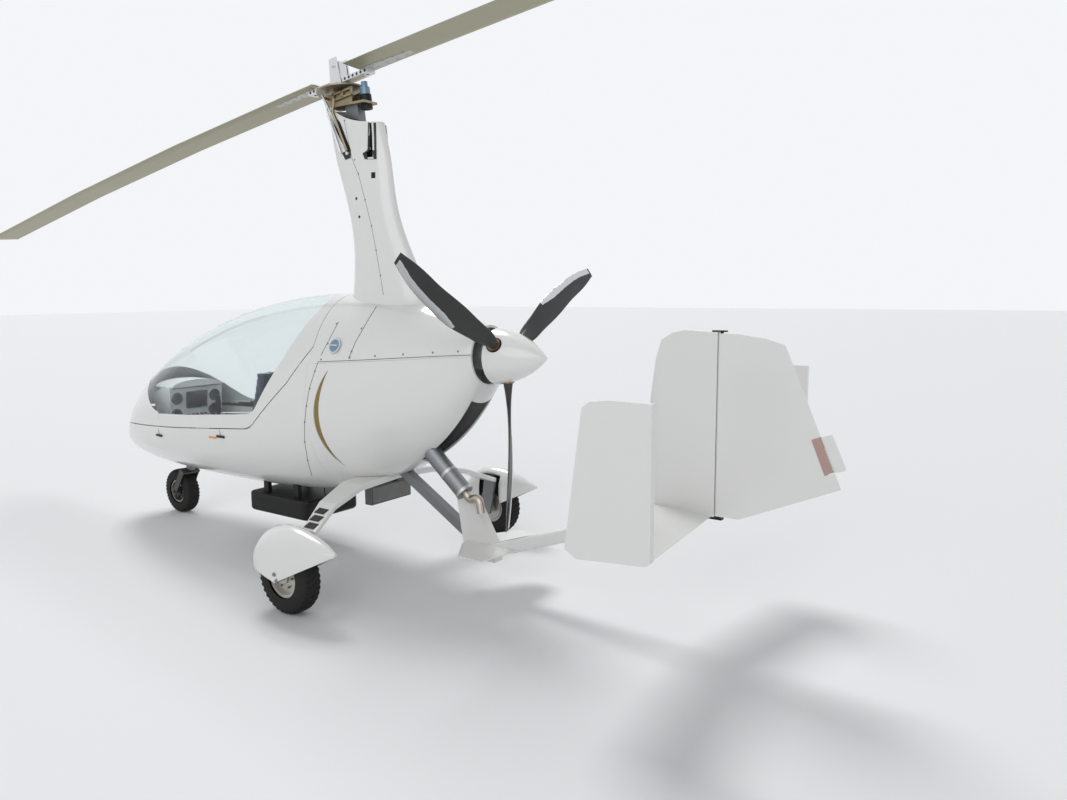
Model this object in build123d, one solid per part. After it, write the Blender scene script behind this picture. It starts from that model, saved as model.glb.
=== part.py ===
from build123d import *
import math
import os

# Two-seat enclosed gyroplane standing on its gear. Millimetres, +Z up, nose towards -Y, port +X.
# The origin is on the ground under the middle of the rotor hub.

# Fuselage: each station is (y, height of the widest line, half width, top, bottom)
hull_stations = [
    (-2150, 532, 36, 566, 500),
    (-2118, 540, 105, 632, 458),
    (-2040, 556, 180, 740, 420),
    (-1860, 590, 262, 918, 384),
    (-1560, 650, 334, 1112, 358),
    (-1120, 735, 384, 1302, 346),
    (-560, 820, 402, 1442, 350),
    (0, 885, 386, 1492, 408),
    (330, 955, 345, 1478, 505),
    (620, 1050, 272, 1432, 645),
    (830, 1130, 205, 1376, 822),
    (975, 1185, 150, 1335, 1035),
]
hull_wall = 12
glass_wall = 4
panel_gap = 0.8
canopy_gap = 5
glass_gap = 0.4
cut_reach = 700
hinge_x = -416
hinge_z = 738
hinge_r = 8
hinge_pin_r = 4
hinge_play = 0.3
hinge_length = 40
hinge_places = (-900, -560)

# Seams of the shells, seen from the side, as (y, z) corners
canopy_front = (-2300, 612)
canopy_sill_mid = (-1155, 688)
canopy_corner = (-410, 748)
canopy_rise = (-95, 1020)
canopy_back = (62, 1215)
canopy_corner_r = 170
window_front = (-2300, 694)
window_sill_mid = (-1000, 782)
window_corner = (-372, 838)
window_rise = (-150, 1150)
window_back = (-20, 1400)
window_corner_r = 120
cabin_seam_y = 48
cowl_split_front = 1130
cowl_split_rear = 1190
shoulder_seam_low = 322
shoulder_seam_high = 430

# Cooling slots in the flanks and the outlet below the propeller
slot_y = 138
slot_low = 585
slot_high = 1108
slot_width = 36
slot_bow = 60
slot_mesh_wall = 3
outlet_y0 = 570
outlet_y1 = 915
outlet_half_width = 82

# Engine, as one block with its gearbox, and the propeller on it
engine_y0 = 470
engine_y1 = 800
engine_half_width = 150
engine_z0 = 960
engine_z1 = 1280
mount_plate_y = 456
shaft_z = 1185
gearbox_r = 70
gearbox_end = 990
shaft_r = 22
shaft_clearance = 0.3
spinner_base_y = 1030
spinner_tip_y = 1314
spinner_r = 138
prop_y = 1082
prop_tip_r = 862
prop_root_ring_r = 31
prop_ring_height = 14
prop_shank_r = 26
prop_root_start = 127
prop_hole_play = 8
spinner_wall = 4
spinner_plate = 4
prop_blades_n = 3
prop_first_angle = 30
prop_hub_r = 62
prop_hub_length = 70
# propeller blade stations: radius, chord, pitch angle, thickness, forward sweep of the middle
prop_stations = [
    (127, 48, 60, 48, 0),
    (240, 92, 44, 20, 4),
    (430, 116, 31, 14, 12),
    (650, 102, 23, 9, 4),
    (862, 52, 17, 4, -22),
]

# Mast and its fairing: height, front edge, back edge, half thickness
mast_stations = [
    (1400, 62, 640, 150),
    (1500, 66, 560, 116),
    (1625, 69, 500, 90),
    (1780, 66, 424, 78),
    (2000, 18, 356, 74),
    (2250, -58, 316, 78),
    (2470, -84, 304, 92),
]
mast_wall = 6
mast_foot = (330, 560)
mast_top = (84, 2487)
mast_tube_length = 90
mast_tube_width = 50
mast_tube_wall = 5
mast_scallop_r = 420
mast_scallop_y = 260
mast_scallop_z = 2790
mast_slot_start = 44

# Rotor head
teeter_z = 2690
rotor_rest_tilt = 7.4
head_plate_z = 2474
head_plate_t = 12
bearing_z0 = 2500
bearing_z1 = 2548
bearing_r = 46
gear_ring_r = 134
gear_ring_t = 8
tower_base_z = 2566
tower_base_t = 14
tower_top_z = 2730
tower_width = 78
tower_plate_t = 9
tower_gap = 66
teeter_bolt_r = 9
hub_bar_half = 232
hub_bar_width = 58
hub_bar_t = 24
hub_bar_drop = 82
hub_holes = (70, 104, 138, 172, 206)
spindle_r = 18
rod_r = 6
rod_x = 92
rod_low_x = 62
rod_slot_play = 9
rod_top = (-62, 2534)
rod_low = (92, 2240)
head_mid_y = 62
gimbal_z = 2486
starter_y = 172
starter_r = 26
starter_z0 = 2468
starter_z1 = 2536
pinion_r = 17
rotor_r = 4200
rotor_chord = 200
rotor_t = 22
blade_root = 175
blade_sag = 0.0077
blade_stations = [175, 380, 1500, 2800, 4200]
root_plate_length = 330

# Undercarriage
main_track = 1566
main_axle_y = 375
main_tyre_r = 180
main_tyre_width = 100
main_rim_r = 98
main_rim_width = 78
main_axle_r = 12
nose_axle_y = -1735
nose_tyre_r = 150
nose_tyre_width = 92
nose_rim_r = 80
nose_rim_width = 70
nose_axle_r = 12
nose_axle_bore_r = 6
steer_top = (-1590, 372)
fork_blade_t = 8
fork_gap = 8
hub_bore_clearance = 0.3
hub_r = 30
stem_r = 16
stem_start = 176
steer_housing_r = 30
knuckle_t = 16
# spat stations: y, half width, lower edge, shoulder where the top starts to round, top
spat_stations = [
    (156, 26, 206, 224, 262),
    (200, 68, 197, 262, 356),
    (280, 82, 182, 300, 426),
    (364, 86, 164, 320, 446),
    (470, 80, 221, 322, 440),
    (590, 58, 284, 332, 410),
    (716, 12, 346, 352, 362),
]
spat_half_width = 86
spat_wall = 5
spat_clearance = 14
# landing gear bow: distance from the middle, y, z, width fore and aft, thickness
bow_stations = [
    (0, 262, 512, 176, 36),
    (280, 268, 494, 160, 34),
    (500, 330, 448, 128, 30),
    (694, 412, 366, 100, 28),
]

# Keel, struts and tail
bracket_half_width = 32
jack_face_z = 150
boom_half_width = 34
boom_depth = 70
boom_start = (960, 196)
boom_end = (1960, 542)
boom_end_depth = 52
strut_size = 40
low_strut_size = 48
strut_wall = 3
upper_strut_top = (330, 884)
upper_strut_low = (812, 430)
lower_strut_top = (330, 568)
lower_strut_low = (806, 281)
muffler_r = 45
muffler_x = 68
muffler_top = (640, 681)
muffler_low = (858, 495)
pipe_r = 21
guard_half_span = 264
guard_t = 6
guard_z = 236
tail_hinge_y = 2170
fin_t = 38
rudder_nose_r = 17
rudder_gap = 5
tail_span_half = 811
tail_tip_z = 607
tail_mid_z = 560
tail_t = 34
tail_fin_front = 1850
tail_mid_front = 1846
tail_mid_back = 2144
tail_tip_front = 1938
tail_tip_back = 2272
hinge_bolt_r = 6
end_fin_t = 26
rudder_tip_t = 4

# Pod and cooler under the belly
pod_y0 = -725
pod_y1 = -200
pod_half_width = 200
pod_z0 = 206
pod_z1 = 322
pod_corner_r = 42
pod_lid_z = 280
cooler_y = 250
cooler_z = 412

# Cabin
floor_z = 452
floor_t = 10
bulkhead_y = 66
bulkhead_t = 12
floor_y0 = -1740
seat_base_z = 500
seat_width = 400
seat_length = 420
seat_pan_width = 300
front_recline = 190
rear_recline = 130
front_seat_y = -1210
front_seat_top = 1060
rear_seat_y = -575
rear_seat_top = 1150
panel_y = -1520
panel_low_z = 640
panel_top_z = 900
panel_half_width = 190
filler_x = 300
filler_y = 212
filler_z = 1222
seat_cushion_t = 90
seat_back_t = 80
pad_rise = 16
pad_lean = 22.9

os.makedirs("parts", exist_ok=True)


def save(name, shapes):
    """Write one sub-part, of one or more solids, under its own name."""
    solids = [solid for shape in shapes for solid in shape.solids()]
    body = solids[0] if len(solids) == 1 else Compound(children=solids)
    body.label = name
    export_step(body, "parts/" + name + ".step")
    print(name, len(solids))


def along_y(y, z, x=0):
    """A plane across the fuselage whose own x is +X and own y is +Z."""
    return Plane(origin=(x, y, z), x_dir=(1, 0, 0), z_dir=(0, -1, 0))


def egg(plane, half_width, up, down):
    """A closed outline of an upper and a lower half ellipse of one width."""
    upper = EllipticalCenterArc((0, 0), half_width, up, start_angle=0, arc_size=180)
    lower = EllipticalCenterArc((0, 0), half_width, down, start_angle=180, arc_size=180)
    return plane * make_face([upper, lower])


def hull(inset):
    """The fuselage form, drawn in by inset all round."""
    faces = []
    last = len(hull_stations) - 1
    for index, (y, z, half_width, top, bottom) in enumerate(hull_stations):
        place = y
        if index == 0:
            place = y + inset
        if index == last:
            place = y + min(inset, 1)
        shrink = min(inset, 0.6 * half_width)
        faces.append(egg(along_y(place, z), half_width - shrink, top - z - shrink, z - bottom - shrink))
    return loft(faces)


def side_prism(points, rounded=(), radius=0, reach=cut_reach):
    """A bar across the fuselage whose side view is the polygon of (y, z) points."""
    with BuildSketch(Plane.YZ) as outline:
        Polygon(*points, align=None)
        for y, z in rounded:
            corner = outline.vertices().sort_by_distance(Vector(0, y, z))[0]
            fillet(corner, radius)
    return extrude(outline.sketch, amount=reach, both=True)


def side_plate(points, half_thickness, x=0, rounded=(), radius=0):
    """A plate standing fore and aft with the polygon of (y, z) points as its side view."""
    return Pos(x, 0, 0) * side_prism(points, rounded, radius, half_thickness)


def shifted(point, dy, dz):
    return (point[0] + dy, point[1] + dz)


def canopy_region(gap):
    """What lies above the canopy seam, pulled in by gap."""
    low = [shifted(p, -gap, gap) for p in (canopy_front, canopy_sill_mid, canopy_corner, canopy_rise, canopy_back)]
    points = low + [(canopy_back[0] - gap, 1700), (-2300, 1700)]
    return side_prism(points, [low[2]], canopy_corner_r)


def window_region(gap):
    """The glazed part of the canopy, pulled in by gap."""
    low = [shifted(p, -gap, gap) for p in (window_front, window_sill_mid, window_corner, window_rise, window_back)]
    points = low + [(window_back[0] - gap, 1700), (-2300, 1700)]
    return side_prism(points, [low[2]], window_corner_r)


def mast_form(inset):
    """The fairing form: a blunt front and a long back on one thickness."""
    faces = []
    for z, front, back, half in mast_stations:
        nose = 0.38 * (back - front)
        mid = front + nose
        plane = Plane(origin=(0, mid, z), x_dir=(1, 0, 0), z_dir=(0, 0, 1))
        ahead = EllipticalCenterArc((0, 0), half - inset, nose - inset, start_angle=180, arc_size=180)
        behind = EllipticalCenterArc((0, 0), half - inset, back - mid - inset, start_angle=0, arc_size=180)
        faces.append(plane * make_face([behind, ahead]))
    return loft(faces)


def bar_between(start, end, x=0):
    """The plane across a bar at its start, and the bar's length, from two (y, z) points."""
    dy = end[0] - start[0]
    dz = end[1] - start[1]
    run = Plane(origin=(x, start[0], start[1]), x_dir=(1, 0, 0), z_dir=(0, dy, dz))
    return run, math.hypot(dy, dz)


def square_tube(start, end, width, height, wall, x=0):
    plane, length = bar_between(start, end, x)
    outside = extrude(plane * Rectangle(width, height), amount=length)
    inside = extrude(plane * Rectangle(width - 2 * wall, height - 2 * wall), amount=length)
    return outside - inside


def rod(start, end, radius):
    """A round bar between two points in space."""
    path = Vector(*end) - Vector(*start)
    plane = Plane(origin=start, z_dir=path.normalized())
    return extrude(plane * Circle(radius), amount=path.length)


def cross_cylinder(x0, x1, y, z, radius):
    return extrude(Plane(origin=(x0, y, z), z_dir=(1, 0, 0)) * Circle(radius), amount=x1 - x0)


# Hull shells

hull_outside = hull(0)
hull_skin = hull_outside - hull(hull_wall)
glass_skin = hull_outside - hull(glass_wall)
open_region = canopy_region(0)
cabin_side = Pos(0, cabin_seam_y - 2500, 1000) * Box(2 * cut_reach, 5000, 3000)
split_low = side_prism([
    (cabin_seam_y + panel_gap, -100),
    (1400, -100),
    (1400, cowl_split_rear),
    (975, cowl_split_rear),
    (cabin_seam_y + panel_gap, cowl_split_front),
])
split_high = side_prism([
    (-500, cowl_split_front + panel_gap - 36),
    (cabin_seam_y, cowl_split_front + panel_gap),
    (975, cowl_split_rear + panel_gap),
    (1400, cowl_split_rear + panel_gap),
    (1400, 1900),
    (-500, 1900),
])
shoulder_ahead = side_prism([
    (-500, 900),
    (shoulder_seam_low, 900),
    (shoulder_seam_low, cowl_split_front),
    (shoulder_seam_high, 1900),
    (-500, 1900),
])
shoulder_behind = side_prism([
    (shoulder_seam_low + panel_gap, 900),
    (1400, 900),
    (1400, 1900),
    (shoulder_seam_high + panel_gap, 1900),
    (shoulder_seam_low + panel_gap, cowl_split_front),
])
mast_hole = mast_form(-panel_gap)
nose_well = Pos(0, steer_top[0], steer_top[1] - 10) * Cylinder(58, 80)


def bow(grow):
    """One composite spring leg from wheel to wheel, lofted on each side of the middle."""
    halves = []
    for side in (1, -1):
        faces = []
        for x, y, z, chord, thick in bow_stations:
            plane = Plane(origin=(side * x, y, z), x_dir=(0, 1, 0), z_dir=(side, 0, 0))
            outline = RectangleRounded(chord + 2 * grow, thick + 2 * grow, thick * 0.46)
            faces.append(plane * outline)
        halves.append(loft(faces, ruled=True))
    return halves[0] + halves[1]


def strut_form(start, end, size):
    plane, length = bar_between(start, end)
    return extrude(plane * Rectangle(size, size), amount=length)


bow_leg = bow(0)
bow_room = bow(1)
struts = [
    (upper_strut_top, upper_strut_low, strut_size),
    (lower_strut_top, lower_strut_low, low_strut_size),
]

tub_prism = side_prism([
    (-2300, -100),
    (cabin_seam_y, -100),
    (cabin_seam_y, cowl_split_front),
    (-500, cowl_split_front - 36),
    (-500, 1900),
    (-2300, 1900),
])
tub = (hull_skin & tub_prism) - open_region - nose_well
save("fuselage_tub", [tub])

canopy_shell = (hull_skin & canopy_region(canopy_gap)) - window_region(0)
arms = []
leaves = []
pins = []
for y in hinge_places:
    arm = Pos(hinge_x + 14, y, hinge_z + 17) * Box(28, hinge_length, 20)
    knuckle = Pos(hinge_x, y, hinge_z) * Rot(90, 0, 0) * Cylinder(hinge_r, hinge_length)
    eye = Pos(hinge_x, y, hinge_z) * Rot(90, 0, 0) * Cylinder(hinge_pin_r + hinge_play, hinge_length)
    arms.append(((arm + knuckle) - eye) - hull_outside)
    for side in (1, -1):
        place = y + side * (hinge_length + hinge_play)
        leaf = Pos(hinge_x + 14, place, hinge_z - 17) * Box(28, hinge_length, 20)
        barrel = Pos(hinge_x, place, hinge_z) * Rot(90, 0, 0) * Cylinder(hinge_r, hinge_length)
        leaves.append((leaf + barrel) - hull_outside)
    pins.append(Pos(hinge_x, y, hinge_z) * Rot(90, 0, 0) * Cylinder(hinge_pin_r, hinge_length + 1))
hinge_leaves = []
for index in range(len(hinge_places)):
    hinge_leaves.append(leaves[2 * index] + leaves[2 * index + 1] + pins[index])
save("canopy_frame", [canopy_shell + arms[0] + arms[1]])
save("canopy_hinges", hinge_leaves)
glass = glass_skin & window_region(glass_gap)
save("canopy_glass", [glass])

outlet = side_prism([
    (outlet_y0, 400),
    (outlet_y1 + 200, 400),
    (outlet_y1, 980),
    (outlet_y0, 700),
], (), 0, outlet_half_width)
slot_mid_z = (slot_low + slot_high) / 2


def crescent(grow):
    """Seen from the side: two arcs of different radius through the same two tips."""
    low_tip = (slot_y + slot_bow, slot_low - grow)
    high_tip = (slot_y + slot_bow, slot_high + grow)
    front = ThreePointArc(low_tip, (slot_y - slot_width - grow, slot_mid_z), high_tip)
    back = ThreePointArc(low_tip, (slot_y + grow, slot_mid_z), high_tip)
    face = Plane.YZ * make_face([front, back])
    return extrude(face, amount=cut_reach, both=True)


slot_bar = crescent(0)
lower_cowl = (hull_skin & split_low) - outlet - slot_bar - bow_room
for start, end, size in struts:
    lower_cowl = lower_cowl - strut_form(start, end, size + 4)
lower_cowl = lower_cowl - rod((muffler_x, *muffler_top), (muffler_x, *muffler_low), muffler_r + 4)
lower_cowl = lower_cowl.solids().sort_by(SortBy.VOLUME)[-1]
save("lower_cowl", [lower_cowl])
mesh_skin = (hull(6) - hull(6 + slot_mesh_wall)) & slot_bar
save("intake_mesh", [mesh_skin])

upper = (hull_skin & split_high) - open_region - mast_hole
save("shoulder_panel", [(upper & shoulder_ahead).solids().sort_by(SortBy.VOLUME)[-1]])
save("upper_cowl", [(upper & shoulder_behind).solids().sort_by(SortBy.VOLUME)[-1]])
save("gear_bow", [bow_leg])

# Cabin inside

cabin_room = hull(hull_wall + 0.3)
floor_length = bulkhead_y - 0.3 - floor_y0
floor_slab = Pos(0, floor_y0 + floor_length / 2, floor_z + floor_t / 2) * Box(2 * cut_reach, floor_length, floor_t)
steer_length = math.hypot(steer_top[0] - nose_axle_y, steer_top[1] - nose_tyre_r)
steer_dir = ((steer_top[0] - nose_axle_y) / steer_length, (steer_top[1] - nose_tyre_r) / steer_length)


def on_steer(distance):
    """A point of the steering axis, measured up from the nose axle."""
    return (0, nose_axle_y + distance * steer_dir[0], nose_tyre_r + distance * steer_dir[1])


steer_room = rod(on_steer(200), on_steer(420), steer_housing_r + 0.3)
bulkhead = Pos(0, bulkhead_y + bulkhead_t / 2, 1000) * Box(2 * cut_reach, bulkhead_t, 2000)
save("bulkhead", [(bulkhead & cabin_room) - mast_hole])
steer_housing = rod(on_steer(stem_start + 30), on_steer(390), steer_housing_r)
steer_housing = steer_housing - rod(on_steer(200), on_steer(420), stem_r + hub_bore_clearance)
save("steering_housing", [steer_housing])


def seat(front_y, base_z, back_top, recline):
    """A cushion and a reclined back that meets its rear edge."""
    cushion = side_plate([
        (front_y, base_z),
        (front_y, base_z + seat_cushion_t),
        (front_y + seat_length, base_z + seat_cushion_t - 30),
        (front_y + seat_length, base_z),
    ], seat_width / 2)
    foot = front_y + seat_length + 0.3
    back = side_plate([
        (foot, base_z),
        (foot + seat_back_t, base_z),
        (foot + seat_back_t + recline, back_top),
        (foot + recline, back_top),
    ], seat_width / 2)
    return [cushion, back]


front_seat = seat(front_seat_y, seat_base_z, front_seat_top, front_recline)
rear_seat = seat(rear_seat_y, seat_base_z, rear_seat_top, rear_recline)
save("front_seat", front_seat)
save("rear_seat", rear_seat)
floor = (floor_slab & cabin_room) - steer_room
for start in (front_seat_y, rear_seat_y):
    pan_height = seat_base_z - floor_z - floor_t - 0.3
    pan = Pos(0, start + seat_length / 2, floor_z + floor_t + pan_height / 2) * Box(seat_pan_width, seat_length - 60, pan_height)
    floor = floor + pan
save("cabin_floor", [floor])
panel = side_plate([
    (panel_y, panel_low_z),
    (panel_y - 110, panel_low_z),
    (panel_y - 190, panel_top_z - 60),
    (panel_y - 40, panel_top_z),
    (panel_y + 20, panel_top_z - 20),
], panel_half_width)
column = side_plate([
    (panel_y + 38, floor_z + floor_t + 0.3),
    (panel_y + 100, floor_z + floor_t + 0.3),
    (panel_y, panel_low_z - 0.3),
    (panel_y - 80, panel_low_z - 0.3),
], 70)
save("instrument_panel", [panel & cabin_room, column])
sticks = []
for base, height in ((front_seat_y - 60, 290), (rear_seat_y - 16, 200)):
    foot = floor_z + floor_t + 0.3
    boot = Pos(0, base, foot + 15) * Cone(34, 20, 30)
    stem = Pos(0, base, foot + 30 + height / 2) * Cylinder(9, height)
    grip = Pos(0, base, foot + 30 + height) * Cylinder(17, 110)
    sticks.append(boot + stem + grip)
save("control_sticks", sticks)

# Engine, its mount and the propeller

engine = Pos(0, (engine_y0 + engine_y1) / 2, (engine_z0 + engine_z1) / 2) * Box(
    2 * engine_half_width, engine_y1 - engine_y0, engine_z1 - engine_z0)
gearbox = rod((0, engine_y1, shaft_z), (0, gearbox_end, shaft_z), gearbox_r)
shaft = rod((0, gearbox_end, shaft_z), (0, prop_y, shaft_z), shaft_r)
save("engine_block", [engine + gearbox + shaft])
mast_plane, mast_length = bar_between(mast_foot, mast_top)
mast_outer = extrude(mast_plane * Rectangle(mast_tube_width, mast_tube_length), amount=mast_length)
mast_inner = extrude(
    mast_plane * Rectangle(mast_tube_width - 2 * mast_tube_wall, mast_tube_length - 2 * mast_tube_wall),
    amount=mast_length)
mast_cut = Pos(0, 0, head_plate_z + 100) * Box(400, 600, 200)
save("mast_tube", [mast_outer - mast_inner - mast_cut])
mount_arms = []
for z in (engine_z0 + 40, engine_z1 - 60):
    arm = Pos(0, (mount_plate_y + 200) / 2, z) * Box(mast_tube_width, mount_plate_y - 200, 50)
    mount_arms.append(arm - mast_outer)
mount_plate = Pos(0, (engine_y0 + mount_plate_y) / 2, (engine_z0 + engine_z1) / 2) * Box(
    2 * engine_half_width, engine_y0 - mount_plate_y, engine_z1 - engine_z0 - 40)
engine_mount = mount_plate
for arm in mount_arms:
    engine_mount = engine_mount + arm.solids().sort_by(Axis.Y)[-1]
save("engine_mount", [engine_mount])



def spinner_form(start, radius, length):
    """An ogive on the propeller axis with its point aft."""
    profile = make_face([
        Line((0, 0), (radius, 0)),
        ThreePointArc((radius, 0), (radius * 0.66, length * 0.56), (0, length)),
        Line((0, length), (0, 0)),
    ])
    plane = Plane(origin=(0, start, shaft_z), x_dir=(1, 0, 0), z_dir=(0, 0, 1))
    return revolve(plane * profile, Axis((0, start, shaft_z), (0, 1, 0)))


spinner_length = spinner_tip_y - spinner_base_y
spinner = spinner_form(spinner_base_y, spinner_r, spinner_length)
spinner = spinner - spinner_form(spinner_base_y + spinner_plate, spinner_r - spinner_wall, spinner_length - 14)
spinner = spinner - rod((0, spinner_base_y - 1, shaft_z), (0, spinner_base_y + 6, shaft_z), shaft_r + 6)
hub_front = prop_y - prop_hub_length / 2
prop_hub = rod((0, hub_front, shaft_z), (0, hub_front + prop_hub_length, shaft_z), prop_hub_r)
hub_arm = rod((0, hub_front, shaft_z), (0, spinner_base_y + spinner_plate, shaft_z), shaft_r + 24)


def prop_blade():
    """One blade standing up from the hub, leading edge to port, from a round root to a swept tip."""
    faces = []
    for radius, chord, pitch, thick, sweep in prop_stations:
        lead = (math.cos(math.radians(pitch)), -math.sin(math.radians(pitch)), 0)
        plane = Plane(origin=(sweep, 0, radius), x_dir=lead, z_dir=(0, 0, 1))
        near = EllipticalCenterArc((0, 0), chord / 2, thick / 2, start_angle=0, arc_size=180)
        far = EllipticalCenterArc((0, 0), chord / 2, thick / 2, start_angle=180, arc_size=180)
        faces.append(plane * make_face([near, far]))
    return loft(faces)


blade = prop_blade()
shank_length = prop_root_start - prop_ring_height - prop_hub_r / 2
shank = Pos(0, 0, prop_root_start - prop_ring_height - shank_length / 2) * Cylinder(prop_shank_r, shank_length)
ring = Pos(0, 0, prop_root_start - prop_ring_height / 2) * Cylinder(prop_root_ring_r, prop_ring_height)
spinner_hole = Pos(0, 0, 100) * Cylinder(prop_root_ring_r + prop_hole_play, 140)
blades = []
prop_hub = prop_hub + hub_arm
for index in range(prop_blades_n):
    turn = Pos(0, prop_y, shaft_z) * Rot(0, 90 - prop_first_angle - index * 360 / prop_blades_n, 0)
    blades.append(turn * blade)
    prop_hub = prop_hub + turn * shank + turn * ring
    spinner = spinner - turn * spinner_hole
prop_hub = prop_hub - rod((0, hub_front - 20, shaft_z), (0, prop_y + 0.4, shaft_z), shaft_r + shaft_clearance)
save("spinner", [spinner.solids().sort_by(SortBy.VOLUME)[-1]])
save("propeller_hub", [prop_hub])
save("propeller_blades", blades)


# Mast fairing and rotor head

fairing = mast_form(0) - mast_form(mast_wall)
scallop = rod((-cut_reach, mast_scallop_y, mast_scallop_z), (cut_reach, mast_scallop_y, mast_scallop_z), mast_scallop_r)
rod_slots = []
for side in (1, -1):
    rod_slots.append(rod((side * rod_x, *rod_top), (side * rod_low_x, *rod_low), rod_r + rod_slot_play))
rear_slot = side_plate([
    (262, 2190),
    (222, 2190),
    (222, 2214),
    (248, 2230),
    (232, 2500),
    (262, 2500),
], 60, mast_slot_start + 60)
fairing = fairing - scallop - rod_slots[0] - rod_slots[1] - rear_slot
save("mast_fairing", [fairing.solids().sort_by(SortBy.VOLUME)[-1]])

head_tilt = Pos(0, 0, gimbal_z) * Rot(rotor_rest_tilt, 0, 0) * Pos(0, 0, -gimbal_z)
head_plate = Pos(0, head_mid_y, head_plate_z + head_plate_t / 2) * Box(96, 285, head_plate_t)
rotor_head = head_plate
for side in (1, -1):
    cheek = Pos(side * 44, head_mid_y - 44, head_plate_z + head_plate_t + 26) * Box(8, 196, 56)
    pin_length = rod_x - rod_r - 49.7
    pin = Pos(side * (48 + pin_length / 2), rod_top[0], rod_top[1] - 14) * Rot(0, 90, 0) * Cylinder(7, pin_length)
    rotor_head = rotor_head + cheek + pin
gimbal = Pos(0, 0, (head_plate_z + head_plate_t + bearing_z0 + 8) / 2) * Box(
    70, 90, bearing_z0 + 8 - head_plate_z - head_plate_t)
bearing = Pos(0, 0, (bearing_z0 + bearing_z1) / 2) * Cylinder(bearing_r, bearing_z1 - bearing_z0)
spindle = Pos(0, 0, (bearing_z1 + tower_base_z) / 2) * Cylinder(spindle_r, tower_base_z - 0.3 - bearing_z1)
save("rotor_head", [rotor_head + gimbal + head_tilt * (bearing + spindle)])
starter_body = Pos(0, starter_y, (starter_z0 + starter_z1) / 2) * Cylinder(starter_r, starter_z1 - starter_z0)
pinion = Pos(0, starter_y, (starter_z1 + tower_base_z) / 2) * Cylinder(pinion_r, tower_base_z - starter_z1)
save("prerotator", [head_tilt * (starter_body + pinion) - head_plate])
rods = []
for side in (1, -1):
    rods.append(rod((side * rod_x, *rod_top), (side * rod_low_x, *rod_low), rod_r))
save("push_rods", rods)

ring_gear = Pos(0, 0, tower_base_z - gear_ring_t / 2) * Cylinder(gear_ring_r, gear_ring_t)
ring_gear = ring_gear - Pos(0, 0, tower_base_z) * Cylinder(spindle_r + 0.3, 60)
save("gear_ring", [head_tilt * ring_gear])
tower_base = Pos(0, 0, tower_base_z + tower_base_t / 2) * Box(tower_gap + 2 * tower_plate_t, tower_width + 20, tower_base_t)
tower = tower_base
for side in (1, -1):
    plate = side_plate([
        (-tower_width / 2, tower_base_z + tower_base_t - 1),
        (tower_width / 2, tower_base_z + tower_base_t - 1),
        (tower_width / 3, tower_top_z),
        (-tower_width / 3, tower_top_z),
    ], tower_plate_t / 2, side * (tower_gap + tower_plate_t) / 2)
    tower = tower + plate
bolt_reach = tower_gap / 2 + tower_plate_t + 10
bolt = rod((-bolt_reach, 0, teeter_z), (bolt_reach, 0, teeter_z), teeter_bolt_r)
save("teeter_tower", [head_tilt * (tower + bolt)])

bar_z = teeter_z - hub_bar_drop
hub_bar = Pos(0, 0, bar_z) * Box(hub_bar_width, 2 * hub_bar_half, hub_bar_t)
block_z0 = bar_z + hub_bar_t / 2
teeter_block = Pos(0, 0, (block_z0 + teeter_z + 20) / 2) * Box(hub_bar_width - 6, 60, teeter_z + 20 - block_z0)
hub_bar = hub_bar + teeter_block - rod((-60, 0, teeter_z), (60, 0, teeter_z), teeter_bolt_r + 0.3)
for y in hub_holes:
    for side in (1, -1):
        hub_bar = hub_bar - Pos(0, side * y, bar_z) * Cylinder(9, 60)
save("hub_bar", [head_tilt * hub_bar])


def rotor_blade():
    """The blade that points aft: blunt nose to starboard, thin straight tail, sagging with its length."""
    faces = []
    for y in blade_stations:
        sag = blade_sag * y * y / 1000
        height = bar_z + hub_bar_t / 2 + rotor_t / 2 + 0.3 - sag + blade_sag * blade_root * blade_root / 1000
        plane = Plane(origin=(0, y, height), x_dir=(-1, 0, 0), z_dir=(0, 1, 0))
        nose = rotor_chord * 0.2
        front = rotor_chord * 0.3
        half = rotor_t / 2
        arc = EllipticalCenterArc((front - nose, 0), nose, half, start_angle=-90, arc_size=180)
        tail = front - rotor_chord
        faces.append(plane * make_face([
            arc,
            Line((front - nose, half), (tail, 1)),
            Line((tail, 1), (tail, -1)),
            Line((tail, -1), (front - nose, -half)),
        ]))
    return loft(faces, ruled=True)


aft_blade = rotor_blade()
fore_blade = Rot(0, 0, 180) * aft_blade
save("rotor_blades", [head_tilt * aft_blade, head_tilt * fore_blade])

# Wheels, axles and spats


def wheel(x, y, radius, width, rim_r, rim_width, bore):
    """Tyre and rim about a cross axis: a round-shouldered tyre on a dished rim."""
    axis = Axis((0, y, radius), (1, 0, 0))
    depth = radius - rim_r
    plane = Plane(origin=(x, y, radius), x_dir=(1, 0, 0), z_dir=(0, -1, 0))
    section = Pos(0, rim_r + depth / 2) * RectangleRounded(width, depth, depth * 0.42)
    tyre = revolve(plane * section, axis)
    half = rim_width / 2
    dish = Polyline(
        (-half, bore),
        (-half, hub_r),
        (-half + 14, hub_r),
        (-half + 24, rim_r - 22),
        (-half, rim_r - 14),
        (-half, rim_r - 0.3),
        (half, rim_r - 0.3),
        (half, rim_r - 14),
        (half - 24, rim_r - 22),
        (half - 14, hub_r),
        (half, hub_r),
        (half, bore),
        close=True,
    )
    rim = revolve(plane * make_face(dish), axis)
    return tyre, rim


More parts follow.
